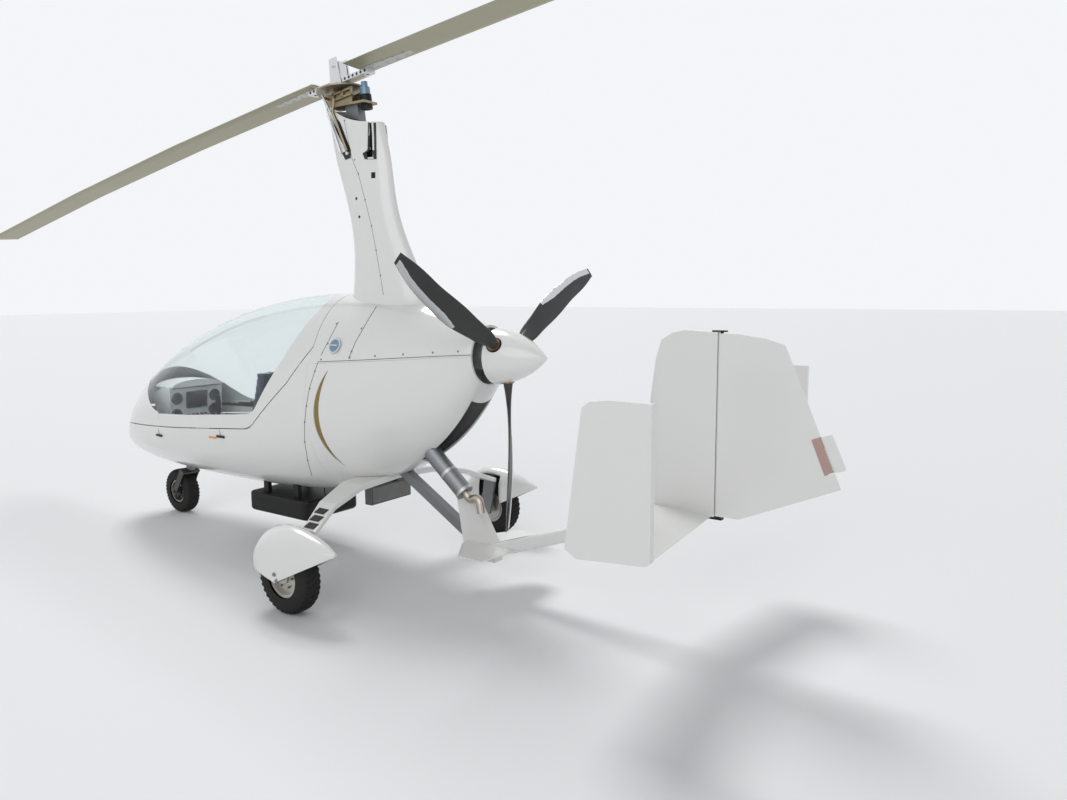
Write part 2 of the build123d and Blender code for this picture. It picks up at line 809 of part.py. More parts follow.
for side, name in ((1, "left"), (-1, "right")):
    tyre, rim = wheel(side * main_track / 2, main_axle_y, main_tyre_r, main_tyre_width, main_rim_r,
                      main_rim_width, main_axle_r + hub_bore_clearance)
    save("main_tyre_" + name, [tyre])
    save("main_rim_" + name, [rim])
tyre, rim = wheel(0, nose_axle_y, nose_tyre_r, nose_tyre_width, nose_rim_r, nose_rim_width,
                  nose_axle_r + hub_bore_clearance)
save("nose_tyre", [tyre])
save("nose_rim", [rim])

bow_end = bow_stations[-1]
spat_outer_x = main_track / 2 + spat_half_width - spat_wall
knuckles = []
for side in (1, -1):
    knuckle = side_plate([
        (main_axle_y - 34, main_tyre_r - 34),
        (main_axle_y + 34, main_tyre_r - 34),
        (bow_end[1] + 42, bow_end[2]),
        (bow_end[1] + 42, bow_end[2] + 10),
        (bow_end[1] - 42, bow_end[2] + 10),
        (bow_end[1] - 42, bow_end[2]),
    ], knuckle_t / 2, side * (bow_end[0] + 0.3 + knuckle_t / 2))
    axle = cross_cylinder(bow_end[0] + 0.3, spat_outer_x - 0.3, main_axle_y, main_tyre_r, main_axle_r)
    if side < 0:
        axle = mirror(axle, about=Plane.YZ)
    knuckles.append(knuckle + axle)
save("main_axles", knuckles)


def spat_form(inset, drop):
    """A wheel spat lofted along its length: straight sides under a rounded top, open below."""
    faces = []
    last = len(spat_stations) - 1
    for index, (y, half, low, shoulder, top) in enumerate(spat_stations):
        place = y
        if index == 0:
            place = y + inset
        if index == last:
            place = y - 3 * inset
        wide = max(half - inset, 2)
        arc = EllipticalCenterArc((0, shoulder), wide, top - shoulder - inset * 0.8, start_angle=0, arc_size=180)
        plane = Plane(origin=(main_track / 2, place, 0), x_dir=(1, 0, 0), z_dir=(0, -1, 0))
        faces.append(plane * make_face([
            arc,
            Line((-wide, shoulder), (-wide, low - drop)),
            Line((-wide, low - drop), (wide, low - drop)),
            Line((wide, low - drop), (wide, shoulder)),
        ]))
    return loft(faces)


spat = spat_form(0, 0) - spat_form(spat_wall, 60)
spat_gate = Pos(bow_end[0] + 6, bow_end[1] - 14, 250) * Box(40, 150, 290)
spat = (spat - spat_gate).solids().sort_by(SortBy.VOLUME)[-1]
save("wheel_spats", [spat, mirror(spat, about=Plane.YZ)])

fork = None
for side in (1, -1):
    blade_x = side * (nose_tyre_width / 2 + fork_gap + fork_blade_t / 2)
    start = on_steer(-22)
    end = on_steer(stem_start)
    plane = Plane(origin=(blade_x, start[1], start[2]), x_dir=(1, 0, 0), z_dir=(0, steer_dir[0], steer_dir[1]))
    leg = extrude(plane * Rectangle(fork_blade_t, 44), amount=stem_start + 22)
    fork = leg if fork is None else fork + leg
crown_plane = Plane(origin=on_steer(stem_start - 6), x_dir=(1, 0, 0), z_dir=(0, steer_dir[0], steer_dir[1]))
crown_width = nose_tyre_width + 2 * fork_gap + 2 * fork_blade_t
fork = fork + extrude(crown_plane * Rectangle(crown_width, 50), amount=16)
fork = fork + rod(on_steer(stem_start), on_steer(380), stem_r)
axle_half = nose_tyre_width / 2 + fork_gap + fork_blade_t + 10
fork = fork + cross_cylinder(-axle_half, axle_half, nose_axle_y, nose_tyre_r, nose_axle_r)
fork = fork - cross_cylinder(-axle_half - 1, axle_half + 1, nose_axle_y, nose_tyre_r, nose_axle_bore_r)
save("nose_fork", [fork])

# Keel frame, exhaust and tail

foot_block = Pos(0, 314, 561) * Box(100, 76, 60)
for start, end, size in struts:
    foot_block = foot_block - strut_form(start, end, size)
foot_block = foot_block - mast_outer - bow_leg
save("frame_foot", [foot_block.solids().sort_by(SortBy.VOLUME)[-1]])
bracket = side_plate([
    (772, 452),
    (868, 466),
    (985, 262),
    (1010, 222),
    (1010, jack_face_z),
    (835, jack_face_z),
    (806, 240),
], bracket_half_width)
boom_plane, boom_length = bar_between(boom_start, boom_end)
boom_front = boom_plane * RectangleRounded(2 * boom_half_width, boom_depth, 16)
boom_back_plane = Plane(origin=(0, boom_end[0], boom_end[1]), x_dir=(1, 0, 0), z_dir=boom_plane.z_dir)
boom_back = boom_back_plane * RectangleRounded(2 * boom_half_width - 10, boom_end_depth, 14)
boom = loft([boom_front, boom_back])
strut_tubes = []
for start, end, size in struts:
    strut_tubes.append(square_tube(start, end, size, size, strut_wall) - mast_outer - bow_leg)
    bracket = bracket - strut_form(start, end, size)
bracket = (bracket - boom).solids().sort_by(SortBy.VOLUME)[-1]
save("keel_bracket", [bracket])
lower_tube = strut_tubes[1].solids().sort_by(SortBy.VOLUME)[-1]
upper_tube = (strut_tubes[0] - strut_form(*struts[1])).solids().sort_by(SortBy.VOLUME)[-1]
save("frame_struts", [upper_tube, lower_tube])
muffler = rod((muffler_x, *muffler_top), (muffler_x, *muffler_low), muffler_r)
save("muffler", [muffler])
pipe_path = FilletPolyline(
    (muffler_x, muffler_low[0] - 8, muffler_low[1] + 7),
    (muffler_x, muffler_low[0] + 34, muffler_low[1] - 30),
    (muffler_x + 10, muffler_low[0] + 96, muffler_low[1] - 6),
    (muffler_x + 14, muffler_low[0] + 112, muffler_low[1] - 84),
    radius=26,
)
pipe = sweep(Plane(origin=pipe_path @ 0, z_dir=pipe_path % 0) * Circle(pipe_r), path=pipe_path)
save("exhaust_pipe", [pipe - muffler])
guard = extrude(Plane(origin=(0, 0, guard_z)) * make_face(Polyline(
    (-12, 845),
    (90, 850),
    (guard_half_span, 968),
    (guard_half_span, 1112),
    (90, 1146),
    (-12, 1150),
    close=True,
)), amount=guard_t)
guard_pair = guard + mirror(guard, about=Plane.YZ)
guard_pair = guard_pair - boom - bracket
save("guard_plates", guard_pair.solids())


def foil_prism(front, back, half, tail_half, z0, z1):
    """An upright bar with a rounded front edge whose thickness is that of a fin."""
    nose = 3.2 * half
    arc = EllipticalCenterArc((0, front + nose), half, nose, start_angle=180, arc_size=180)
    face = make_face([
        arc,
        Line((half, front + nose), (tail_half, back)),
        Line((tail_half, back), (-tail_half, back)),
        Line((-tail_half, back), (-half, front + nose)),
    ])
    return extrude(Plane(origin=(0, 0, z0)) * face, amount=z1 - z0)


fin_outline = side_prism([
    (tail_fin_front, tail_mid_z),
    (tail_fin_front, 1010),
    (1880, 1200),
    (1906, 1290),
    (1960, 1322),
    (2011, 1334),
    (tail_hinge_y, 1326),
    (tail_hinge_y, tail_mid_z),
])
hinge_room = Pos(0, tail_hinge_y, 950) * Cylinder(rudder_nose_r + rudder_gap, 1200)
fin = (fin_outline & foil_prism(tail_fin_front, tail_hinge_y, fin_t / 2, fin_t / 2, 400, 1400)) - hinge_room
fin = fin.solids().sort_by(SortBy.VOLUME)[-1]


def plane_section(x, front, back, z):
    """The tailplane's section at one place across the tail."""
    nose = 60
    half = tail_t / 2
    face = make_face([
        EllipticalCenterArc((front + nose, z), nose, half, start_angle=90, arc_size=180),
        Line((front + nose, z - half), (back, z - 1.5)),
        Line((back, z - 1.5), (back, z + 1.5)),
        Line((back, z + 1.5), (front + nose, z + half)),
    ])
    return Plane(origin=(x, 0, 0), x_dir=(0, 1, 0), z_dir=(1, 0, 0)) * face


end_x = tail_span_half - end_fin_t / 2
tailplane = loft([
    plane_section(-end_x, tail_tip_front, tail_tip_back, tail_tip_z),
    plane_section(0, tail_mid_front, tail_mid_back, tail_mid_z),
    plane_section(end_x, tail_tip_front, tail_tip_back, tail_tip_z),
], ruled=True)
save("tailplane", [tailplane])
fin = (fin - tailplane).solids().sort_by(SortBy.VOLUME)[-1]
save("tail_fin", [fin])
boom = boom - bracket
boom = (boom - tailplane - fin).solids().sort_by(SortBy.VOLUME)[-1]
save("tail_boom", [boom])
end_fin = side_plate([
    (1940, 596),
    (1990, 568),
    (2262, 590),
    (2276, 604),
    (2276, 1134),
    (2117, 1136),
    (2040, 1126),
    (2010, 1104),
], end_fin_t / 2, tail_span_half)
save("end_fins", [end_fin, mirror(end_fin, about=Plane.YZ)])

rudder_outline = side_prism([
    (tail_hinge_y - 30, 564),
    (2265, 564),
    (2662, 739),
    (2433, 1275),
    (2425, 1285),
    (2355, 1306),
    (2245, 1322),
    (tail_hinge_y - 30, 1324),
])
nose = Pos(0, tail_hinge_y, 950) * Cylinder(rudder_nose_r, 900)
low_face = Plane(origin=(0, 0, 540)) * make_face(Polyline(
    (rudder_nose_r, tail_hinge_y), (rudder_tip_t / 2, 2750), (-rudder_tip_t / 2, 2750), (-rudder_nose_r, tail_hinge_y),
    close=True))
high_face = Plane(origin=(0, 0, 1340)) * make_face(Polyline(
    (rudder_nose_r, tail_hinge_y), (rudder_tip_t / 2, 2407), (-rudder_tip_t / 2, 2407), (-rudder_nose_r, tail_hinge_y),
    close=True))
wedge = loft([low_face, high_face], ruled=True)
rudder = (wedge + nose) & rudder_outline
pin_holes = Pos(0, tail_hinge_y, 564) * Cylinder(hinge_bolt_r + 0.3, 60)
pin_holes = pin_holes + Pos(0, tail_hinge_y, 1324) * Cylinder(hinge_bolt_r + 0.3, 60)
tab = side_plate([
    (2544, 921),
    (2579, 935),
    (2679, 829),
    (2679, 815),
    (2600, 786),
], 3)
rudder = (rudder - pin_holes - tab).solids().sort_by(SortBy.VOLUME)[-1]
save("rudder", [rudder])
save("trim_tab", [tab])
low_hinge = Pos(0, tail_hinge_y - 10, 552) * Box(26, 60, 8) + Pos(0, tail_hinge_y, 566) * Cylinder(hinge_bolt_r, 30)
high_hinge = Pos(0, tail_hinge_y - 10, 1332) * Box(22, 60, 6) + Pos(0, tail_hinge_y, 1320) * Cylinder(hinge_bolt_r, 24)
save("rudder_hinges", [(low_hinge - fin - tailplane), (high_hinge - fin)])

# Pod and cooler under the belly

pod_plan = RectangleRounded(2 * pod_half_width, pod_y1 - pod_y0, pod_corner_r)
pod_mid_y = (pod_y0 + pod_y1) / 2
pod_tub = extrude(Plane(origin=(0, pod_mid_y, pod_z0)) * pod_plan, amount=pod_lid_z - pod_z0)
pod_tub = fillet(pod_tub.faces().sort_by(Axis.Z)[0].edges(), 24)
pod_lid = extrude(Plane(origin=(0, pod_mid_y, pod_lid_z + 0.4)) * pod_plan, amount=pod_z1 - pod_lid_z - 0.4)
pod_lid = fillet(pod_lid.faces().sort_by(Axis.Z)[-1].edges(), 14)
save("belly_pod", [pod_tub])
save("pod_lid", [pod_lid])
hangers = []
for x in (-150, 150):
    for y in (-600, -330):
        post = Pos(x, y, pod_z1 + 60) * Box(26, 40, 120) - hull_outside
        hangers.append(post.solids().sort_by(Axis.Z)[0])
save("pod_hangers", hangers)
cooler = Pos(0, cooler_y, cooler_z) * Box(300, 50, 98)
for x in (-60, 60):
    strap = Pos(x, cooler_y, cooler_z + 65) * Box(20, 30, 60) - hull_outside - bow_leg
    cooler = cooler + strap.solids().sort_by(Axis.Z)[0]
save("cooler", [cooler])

# Small outside pieces

cap_plane = Plane(origin=(filler_x, filler_y, filler_z), z_dir=(0.93, 0, 0.37))
cap = extrude(cap_plane * Circle(36), amount=14) - hull_outside
save("filler_cap", [cap.solids().sort_by(SortBy.VOLUME)[-1]])
latches = []
for y, z in ((-1375, 618), (-690, 680)):
    latches.append(Pos(0, y, z) * Box(2 * cut_reach, 66, 12))
latch_skin = (hull(-9) - hull_outside) & (latches[0] + latches[1])
save("latches", [item for item in latch_skin.solids() if item.center().X > 0])
pads = []
for step in range(3):
    share = 0.32 + 0.26 * step
    pad_x = bow_stations[2][0] + share * (bow_stations[3][0] - bow_stations[2][0])
    pad_y = bow_stations[2][1] + share * (bow_stations[3][1] - bow_stations[2][1])
    pad_z = bow_stations[2][2] + share * (bow_stations[3][2] - bow_stations[2][2]) + pad_rise
    pads.append(Pos(pad_x, pad_y, pad_z) * Rot(0, pad_lean, 0) * Box(38, 66, 4) - bow_leg)
save("grip_pads", pads)
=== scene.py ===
import math
import bmesh
import bpy
from mathutils import Matrix, Vector
from mathutils.bvhtree import BVHTree


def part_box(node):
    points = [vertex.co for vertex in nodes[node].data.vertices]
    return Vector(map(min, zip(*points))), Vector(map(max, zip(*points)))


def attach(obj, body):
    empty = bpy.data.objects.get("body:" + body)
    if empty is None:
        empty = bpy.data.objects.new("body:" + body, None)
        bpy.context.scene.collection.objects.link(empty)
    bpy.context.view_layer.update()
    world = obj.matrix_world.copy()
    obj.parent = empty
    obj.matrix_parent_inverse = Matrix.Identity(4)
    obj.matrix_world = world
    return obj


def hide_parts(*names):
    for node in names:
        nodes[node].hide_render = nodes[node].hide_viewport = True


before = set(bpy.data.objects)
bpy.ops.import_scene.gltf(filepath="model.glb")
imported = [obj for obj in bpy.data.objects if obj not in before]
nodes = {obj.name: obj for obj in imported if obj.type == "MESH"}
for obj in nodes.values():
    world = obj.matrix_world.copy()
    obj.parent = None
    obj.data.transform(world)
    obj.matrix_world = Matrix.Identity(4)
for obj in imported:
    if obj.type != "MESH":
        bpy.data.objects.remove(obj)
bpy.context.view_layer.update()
scene = bpy.context.scene
scene.view_settings.view_transform = "Standard"

# Viewpoint
# The picture is taken from the port quarter, at about the eye level of a standing person.
# Yaw turns the view from straight starboard towards the nose, pitch looks down.
picture_size = (1067, 800)
camera_place = Vector((3.2154, 3.494, 1.5006))
camera_yaw = math.radians(35.13)
camera_pitch = math.radians(7.48)
camera_roll = math.radians(-0.36)
camera_focal_px = 834.84
usual_distance = 4.6
sensor_width = 36
view_ahead = Vector((
    -math.cos(camera_yaw) * math.cos(camera_pitch),
    -math.sin(camera_yaw) * math.cos(camera_pitch),
    -math.sin(camera_pitch),
))
view_level = view_ahead.cross(Vector((0, 0, 1))).normalized()
view_upright = view_level.cross(view_ahead)
view_right = view_level * math.cos(camera_roll) + view_upright * math.sin(camera_roll)
view_up = view_upright * math.cos(camera_roll) - view_level * math.sin(camera_roll)
camera_data = bpy.data.cameras.new("viewpoint")
camera_data.sensor_width = sensor_width
camera_data.lens = camera_focal_px * sensor_width / picture_size[0]
camera = bpy.data.objects.new("viewpoint", camera_data)
scene.collection.objects.link(camera)


def axes_at(first, second, third, origin):
    """A placement from its three axes and its origin."""
    return Matrix(((*first, 0), (*second, 0), (*third, 0), (*origin, 1))).transposed()


camera.matrix_world = axes_at(view_right, view_up, -view_ahead, camera_place)
scene.camera = camera

# Studio
# A pale floor and sky under one broad, high lamp and a weaker one from the port side.
# The sky that the camera and the gloss see is paler than the sky that lights the object.
# The floor is see-through from below, so that the underside can be looked at.
floor_reach = 60
floor_colour = (0.80, 0.81, 0.82, 1)
sky_seen = (0.90, 0.92, 0.94, 1)
sky_lighting = 0.46
lamps = (
    ("key_lamp", Vector((-3.0, -4.5, 8.0)), 1.55, 22),
    ("fill_lamp", Vector((7.0, 3.0, 4.0)), 0.75, 50),
)


def set_sockets(node, sockets):
    """Gives some sockets of a node their values."""
    for socket_name, value in sockets:
        node.inputs[socket_name].default_value = value


def node_in(tree, kind, sockets=(), operation=None):
    """A new shader node in a tree."""
    node = tree.nodes.new("ShaderNode" + kind)
    if operation is not None:
        node.operation = operation
    set_sockets(node, sockets)
    return node


def wire(tree, rows):
    """Joins an output of one node to an input of another, one row for each wire."""
    for giver, output, taker, socket in rows:
        tree.links.new(giver.outputs[output], taker.inputs[socket])


def rough_material(name, colour, rough, metal=0.0, sockets=()):
    """A plain material, with more sockets of its shader where they are given."""
    material = bpy.data.materials.new(name)
    material.use_nodes = True
    set_sockets(material.node_tree.nodes["Principled BSDF"], (
        ("Base Color", (*colour[:3], 1)), ("Roughness", rough), ("Metallic", metal), *sockets))
    return material


def mesh_object(name, bm, material, smooth_angle=0.6):
    """Turns a finished bmesh into a piece whose flat faces stay crisp."""
    bmesh.ops.recalc_face_normals(bm, faces=bm.faces[:])
    for face in bm.faces:
        face.smooth = True
    for edge in bm.edges:
        if len(edge.link_faces) != 2 or edge.calc_face_angle(0) > smooth_angle:
            edge.smooth = False
    mesh = bpy.data.meshes.new(name)
    bm.to_mesh(mesh)
    bm.free()
    mesh.materials.append(material)
    piece = bpy.data.objects.new(name, mesh)
    scene.collection.objects.link(piece)
    return piece


floor_paint = rough_material("studio_floor", floor_colour, 0.7)
floor_bm = bmesh.new()
bmesh.ops.create_grid(floor_bm, x_segments=1, y_segments=1, size=floor_reach)
floor = mesh_object("studio_floor", floor_bm, floor_paint)
floor_tree = floor_paint.node_tree
floor_side = node_in(floor_tree, "NewGeometry")
see_through = node_in(floor_tree, "BsdfTransparent")
floor_mix = node_in(floor_tree, "MixShader")
wire(floor_tree, (
    (floor_side, "Backfacing", floor_mix, "Fac"),
    (floor_tree.nodes["Principled BSDF"], "BSDF", floor_mix, 1),
    (see_through, "BSDF", floor_mix, 2),
    (floor_mix, "Shader", floor_tree.nodes["Material Output"], "Surface"),
))
world = bpy.data.worlds.new("studio")
world.use_nodes = True
scene.world = world
sky_tree = world.node_tree
sky = sky_tree.nodes["Background"]
sky.inputs["Color"].default_value = sky_seen
rays = node_in(sky_tree, "LightPath")
seen = node_in(sky_tree, "Math", operation="MAXIMUM")
seen_glass = node_in(sky_tree, "Math", operation="MAXIMUM")
sky_strength = node_in(sky_tree, "MapRange", (("To Min", sky_lighting), ("To Max", 1.0)))
wire(sky_tree, (
    (rays, "Is Camera Ray", seen, 0),
    (rays, "Is Glossy Ray", seen, 1),
    (seen, 0, seen_glass, 0),
    (rays, "Is Transmission Ray", seen_glass, 1),
    (seen_glass, 0, sky_strength, "Value"),
    (sky_strength, "Result", sky, "Strength"),
))
for lamp_name, lamp_place, lamp_strength, lamp_spread in lamps:
    lamp_data = bpy.data.lights.new(lamp_name, "SUN")
    lamp_data.energy = lamp_strength
    lamp_data.angle = math.radians(lamp_spread)
    lamp = bpy.data.objects.new(lamp_name, lamp_data)
    lamp.matrix_world = (-lamp_place).to_track_quat("-Z", "Y").to_matrix().to_4x4()
    lamp.location = lamp_place
    scene.collection.objects.link(lamp)

# White shells
# The hull, cowls, fairings, spats and tail are gel-coated laminate in glossy white.
# A little dust dulls the gloss, and more of it lies low down.
gelcoat_colour = (0.80, 0.80, 0.785, 1)
road_dust = (0.42, 0.38, 0.31, 1)
gelcoat_nodes = (
    "fuselage_tub", "canopy_frame", "lower_cowl", "shoulder_panel", "upper_cowl", "mast_fairing",
    "spinner", "gear_bow", "wheel_spats", "keel_bracket", "tail_boom", "guard_plates", "tailplane",
    "tail_fin", "end_fins", "rudder",
)

dusting = bpy.data.node_groups.new("dusting", "ShaderNodeTree")
for way, socket_name, socket_kind in (
    ("INPUT", "Clean", "Color"), ("INPUT", "Dust", "Color"), ("INPUT", "Amount", "Float"),
    ("INPUT", "Gloss", "Float"), ("INPUT", "Grain", "Float"), ("OUTPUT", "Color", "Color"),
    ("OUTPUT", "Roughness", "Float"), ("OUTPUT", "Height", "Float"),
):
    dusting.interface.new_socket(socket_name, in_out=way, socket_type="NodeSocket" + socket_kind)
dust_in = dusting.nodes.new("NodeGroupInput")
dust_out = dusting.nodes.new("NodeGroupOutput")
dust_place = node_in(dusting, "TexCoord")
dust_cloud = node_in(dusting, "TexNoise", (("Scale", 5.0), ("Detail", 6.0)))
dust_split = node_in(dusting, "SeparateXYZ")
dust_low = node_in(dusting, "MapRange", (
    ("From Min", 0.9), ("From Max", 0.0), ("To Min", 0.25), ("To Max", 1.0)))
dust_mask = node_in(dusting, "Math", operation="MULTIPLY")
dust_share = node_in(dusting, "Math", operation="MULTIPLY")
dust_share.use_clamp = True
dust_mix = node_in(dusting, "Mix")
dust_mix.data_type = "RGBA"
dust_rough = node_in(dusting, "Math", ((1, 0.8),), "MULTIPLY_ADD")
fine_grain = node_in(dusting, "TexNoise", (("Detail", 3.0),))
wire(dusting, (
    (dust_place, "Object", dust_cloud, "Vector"),
    (dust_place, "Object", fine_grain, "Vector"),
    (dust_in, "Grain", fine_grain, "Scale"),
    (dust_place, "Object", dust_split, 0),
    (dust_split, "Z", dust_low, "Value"),
    (dust_cloud, "Fac", dust_mask, 0),
    (dust_low, "Result", dust_mask, 1),
    (dust_mask, 0, dust_share, 0),
    (dust_in, "Amount", dust_share, 1),
    (dust_share, 0, dust_mix, "Factor"),
    (dust_in, "Clean", dust_mix, "A"),
    (dust_in, "Dust", dust_mix, "B"),
    (dust_share, 0, dust_rough, 0),
    (dust_in, "Gloss", dust_rough, 2),
    (dust_mix, "Result", dust_out, "Color"),
    (dust_rough, 0, dust_out, "Roughness"),
    (fine_grain, "Fac", dust_out, "Height"),
))


def dusty_material(name, colour, rough, metal=0.0, dust=0.3, grain=300.0, relief=0.0, sockets=()):
    """A material whose colour and gloss vary with a little dust, with a fine surface grain."""
    material = rough_material(name, colour, rough, metal, sockets)
    tree = material.node_tree
    shader = tree.nodes["Principled BSDF"]
    effect = node_in(tree, "Group")
    effect.node_tree = dusting
    set_sockets(effect, (("Clean", (*colour[:3], 1)), ("Dust", road_dust), ("Amount", dust),
                         ("Gloss", rough), ("Grain", grain)))
    wire(tree, ((effect, "Color", shader, "Base Color"), (effect, "Roughness", shader, "Roughness")))
    if relief:
        bump = node_in(tree, "Bump", (("Distance", relief), ("Strength", 0.6)))
        wire(tree, ((effect, "Height", bump, "Height"), (bump, "Normal", shader, "Normal")))
    return material


def finish(material, *names):
    """Gives CAD nodes their material."""
    for name in names:
        mesh = nodes[name].data
        mesh.materials.clear()
        mesh.materials.append(material)


gelcoat = dusty_material("white_gelcoat", gelcoat_colour, 0.2, dust=0.16,
                         sockets=(("Coat Weight", 0.6), ("Coat Roughness", 0.06)))
finish(gelcoat, *gelcoat_nodes)

# Shell seams and screws
# The cowl halves and the panel behind the cabin meet in fine seams, drawn as thin dark beads of painted
# shade, and are held by small flush screws.
# Both sides of the hull are alike, so what the port side shows is mirrored.
seam_shade_colour = (0.10, 0.10, 0.095, 1)
seam_radius = 0.0016
screw_radius = 0.0062
screw_height = 0.0012
head_taper = 0.86
crisp_angle = 0.5
side_names = ("port", "starboard")
cabin_seam_px = ((318.5, 361.5), (314.7, 371.2), (309.4, 388.6), (306.3, 406.0), (304.5, 424.0),
                 (304.8, 442.0), (307.6, 460.4), (312.0, 476.0))
cowl_split_px = ((318.5, 361.8), (349.5, 360.6), (375.0, 359.4), (402.8, 357.9), (440.0, 356.2),
                 (470.6, 355.0))
shoulder_rear_px = ((376.4, 306.4), (366.5, 323.0), (355.5, 342.0), (348.6, 358.6))
shoulder_front_px = ((338.5, 322.0), (330.0, 338.0), (321.0, 355.6))
cabin_screws_px = ((314.9, 371.2), (309.7, 388.6), (306.5, 406.0), (304.7, 422.0), (304.7, 442.0),
                   (307.8, 460.4))
split_screws_px = ((321.0, 359.4), (349.8, 357.5), (375.0, 356.0), (403.0, 354.4), (432.7, 352.6),
                   (458.0, 351.4))
shoulder_screws_px = ((336.6, 323.6), (327.8, 343.5), (361.5, 328.5), (351.5, 351.5))
hull_nodes = ("fuselage_tub", "canopy_frame", "lower_cowl", "shoulder_panel", "upper_cowl")


def form_of(*names):
    """One search tree over the faces of some CAD nodes, to lay pieces on them."""
    joined = bmesh.new()
    for name in names:
        joined.from_mesh(nodes[name].data)
    tree = BVHTree.FromBMesh(joined)
    joined.free()
    return tree


def along_sight(pixel):
    """The direction in which the camera sees a pixel of the picture."""
    across = (pixel[0] - picture_size[0] / 2) / camera_focal_px
    down = (pixel[1] - picture_size[1] / 2) / camera_focal_px
    return (view_ahead + view_right * across - view_up * down).normalized()


def turned_to(direction, normal):
    """A normal, turned round where it points away from a direction."""
    return -normal if normal.dot(direction) < 0 else normal


def laid_on(form, pixel):
    """Where a pixel lands on a form, and which way the surface faces there."""
    sight = along_sight(pixel)
    place, normal = form.ray_cast(camera_place, sight)[:2]
    if place is None:
        place, normal = form.find_nearest(camera_place + sight * usual_distance)[:2]
    return place, turned_to(-sight, normal)


def flip_to(side_name):
    """The factors that bring a port place to a side."""
    return Vector((1 if side_name == "port" else -1, 1, 1))


def on_side(spots, side_name):
    """Port spots as they are, or the same spots on the starboard side."""
    flip = flip_to(side_name)
    return [(place * flip, normal * flip) for place, normal in spots]


def both_sides(spots):
    """Port spots and the same spots on the starboard side."""
    return on_side(spots, "port") + on_side(spots, "starboard")


def laid_on_both_sides(form, pixels):
    """Where pixels land on a form, and the same spots on the starboard side."""
    return both_sides([laid_on(form, pixel) for pixel in pixels])


def carried(piece, body):
    """Makes a piece ride the body that carries it."""
    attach(piece, body)


def bead(name, places, radius, material, body, resolution=2):
    """A thin round line through some places."""
    curve = bpy.data.curves.new(name, "CURVE")
    curve.dimensions = "3D"
    curve.bevel_depth = radius
    curve.bevel_resolution = resolution
    curve.use_fill_caps = True
    spline = curve.splines.new("POLY")
    spline.points.add(len(places) - 1)
    for point, place in zip(spline.points, places):
        point.co = (*place, 1)
    curve.materials.append(material)
    piece = bpy.data.objects.new(name, curve)
    scene.collection.objects.link(piece)
    carried(piece, body)


def between(pixels, steps=6):
    """More pixels along a row of pixels, evenly between each pair."""
    row = []
    for first, second in zip(pixels, pixels[1:]):
        for step in range(steps):
            share = step / steps
            row.append((first[0] + share * (second[0] - first[0]), first[1] + share * (second[1] - first[1])))
    return row + [pixels[-1]]


def facing(place, direction):
    """A placement whose third axis points in a direction."""
    lie = Vector((0, 0, 1)).rotation_difference(direction).to_matrix().to_4x4()
    lie.translation = place
    return lie


def discs(name, spots, radius, height, material, body, sides=16, sink=0.0006):
    """Flat round heads that lie on a surface, each facing the way the surface does."""
    bm = bmesh.new()
    for place, normal in spots:
        bmesh.ops.create_cone(bm, cap_ends=True, segments=sides, radius1=radius, radius2=radius * head_taper,
                              depth=height, matrix=facing(place + normal * (height / 2 - sink), normal))
    carried(mesh_object(name, bm, material, crisp_angle), body)


def seam_on_both_sides(name, form, pixels, radius):
    """A seam line of painted shade along some pixels of the picture, and its twin on the starboard side."""
    seam_spots = [laid_on(form, pixel) for pixel in between(pixels)]
    for side_name in side_names:
        bead(name + "_" + side_name, [place for place, normal in on_side(seam_spots, side_name)], radius,
             seam_shade_paint, "airframe")


# The seams' dark colour is painted shade in the joints' gaps.
seam_shade_paint = rough_material("seam_shadow", seam_shade_colour, 0.7)
screw_metal = rough_material("stainless_screws", (0.24, 0.24, 0.235), 0.4, 0.8)
hull_form = form_of(*hull_nodes)
for seam_name, seam_px in (
    ("cabin_seam", cabin_seam_px), ("cowl_split_seam", cowl_split_px),
    ("shoulder_rear_seam", shoulder_rear_px), ("shoulder_front_seam", shoulder_front_px),
):
    seam_on_both_sides(seam_name, hull_form, seam_px, seam_radius)
hull_screws = laid_on_both_sides(hull_form, cabin_screws_px + split_screws_px + shoulder_screws_px)
discs("shell_screws", hull_screws, screw_radius, screw_height, screw_metal, "airframe")

# Canopy glazing
# One blown acrylic bubble in a white frame. A white laminate brow wraps the front of the bubble,
# low at its two ends and highest on the centre line.
glazing = rough_material("clear_acrylic", (0.93, 0.97, 0.97), 0.02, sockets=(
    ("Transmission Weight", 1.0), ("IOR", 1.1), ("Coat Weight", 0.35), ("Coat Roughness", 0.02)))
finish(glazing, "canopy_glass")


def walled(piece, name, thickness, offset=0):
    """Gives a sheet its wall."""
    wall = piece.modifiers.new(name, "SOLIDIFY")
    wall.thickness = thickness
    wall.offset = offset


def settled(piece):
    """Gives a piece the mesh that its modifiers make, in place of the modifiers."""
    result = piece.evaluated_get(bpy.context.evaluated_depsgraph_get())
    piece.data = bpy.data.meshes.new_from_object(result)
    piece.modifiers.clear()
    return piece.data


def skin_sheet(name, rows, material, body, lift=0.0012):
    """A thin sheet that lies on a surface, through rows of places and facings."""
    bm = bmesh.new()
    grid = [[bm.verts.new(place + normal * lift) for place, normal in row] for row in rows]
    for first, second in zip(grid, grid[1:]):
        for index in range(len(first) - 1):
            bm.faces.new((first[index], first[index + 1], second[index + 1], second[index]))
    sheet = mesh_object(name, bm, material)
    walled(sheet, "sheet_wall", 0.0008)
    carried(sheet, body)


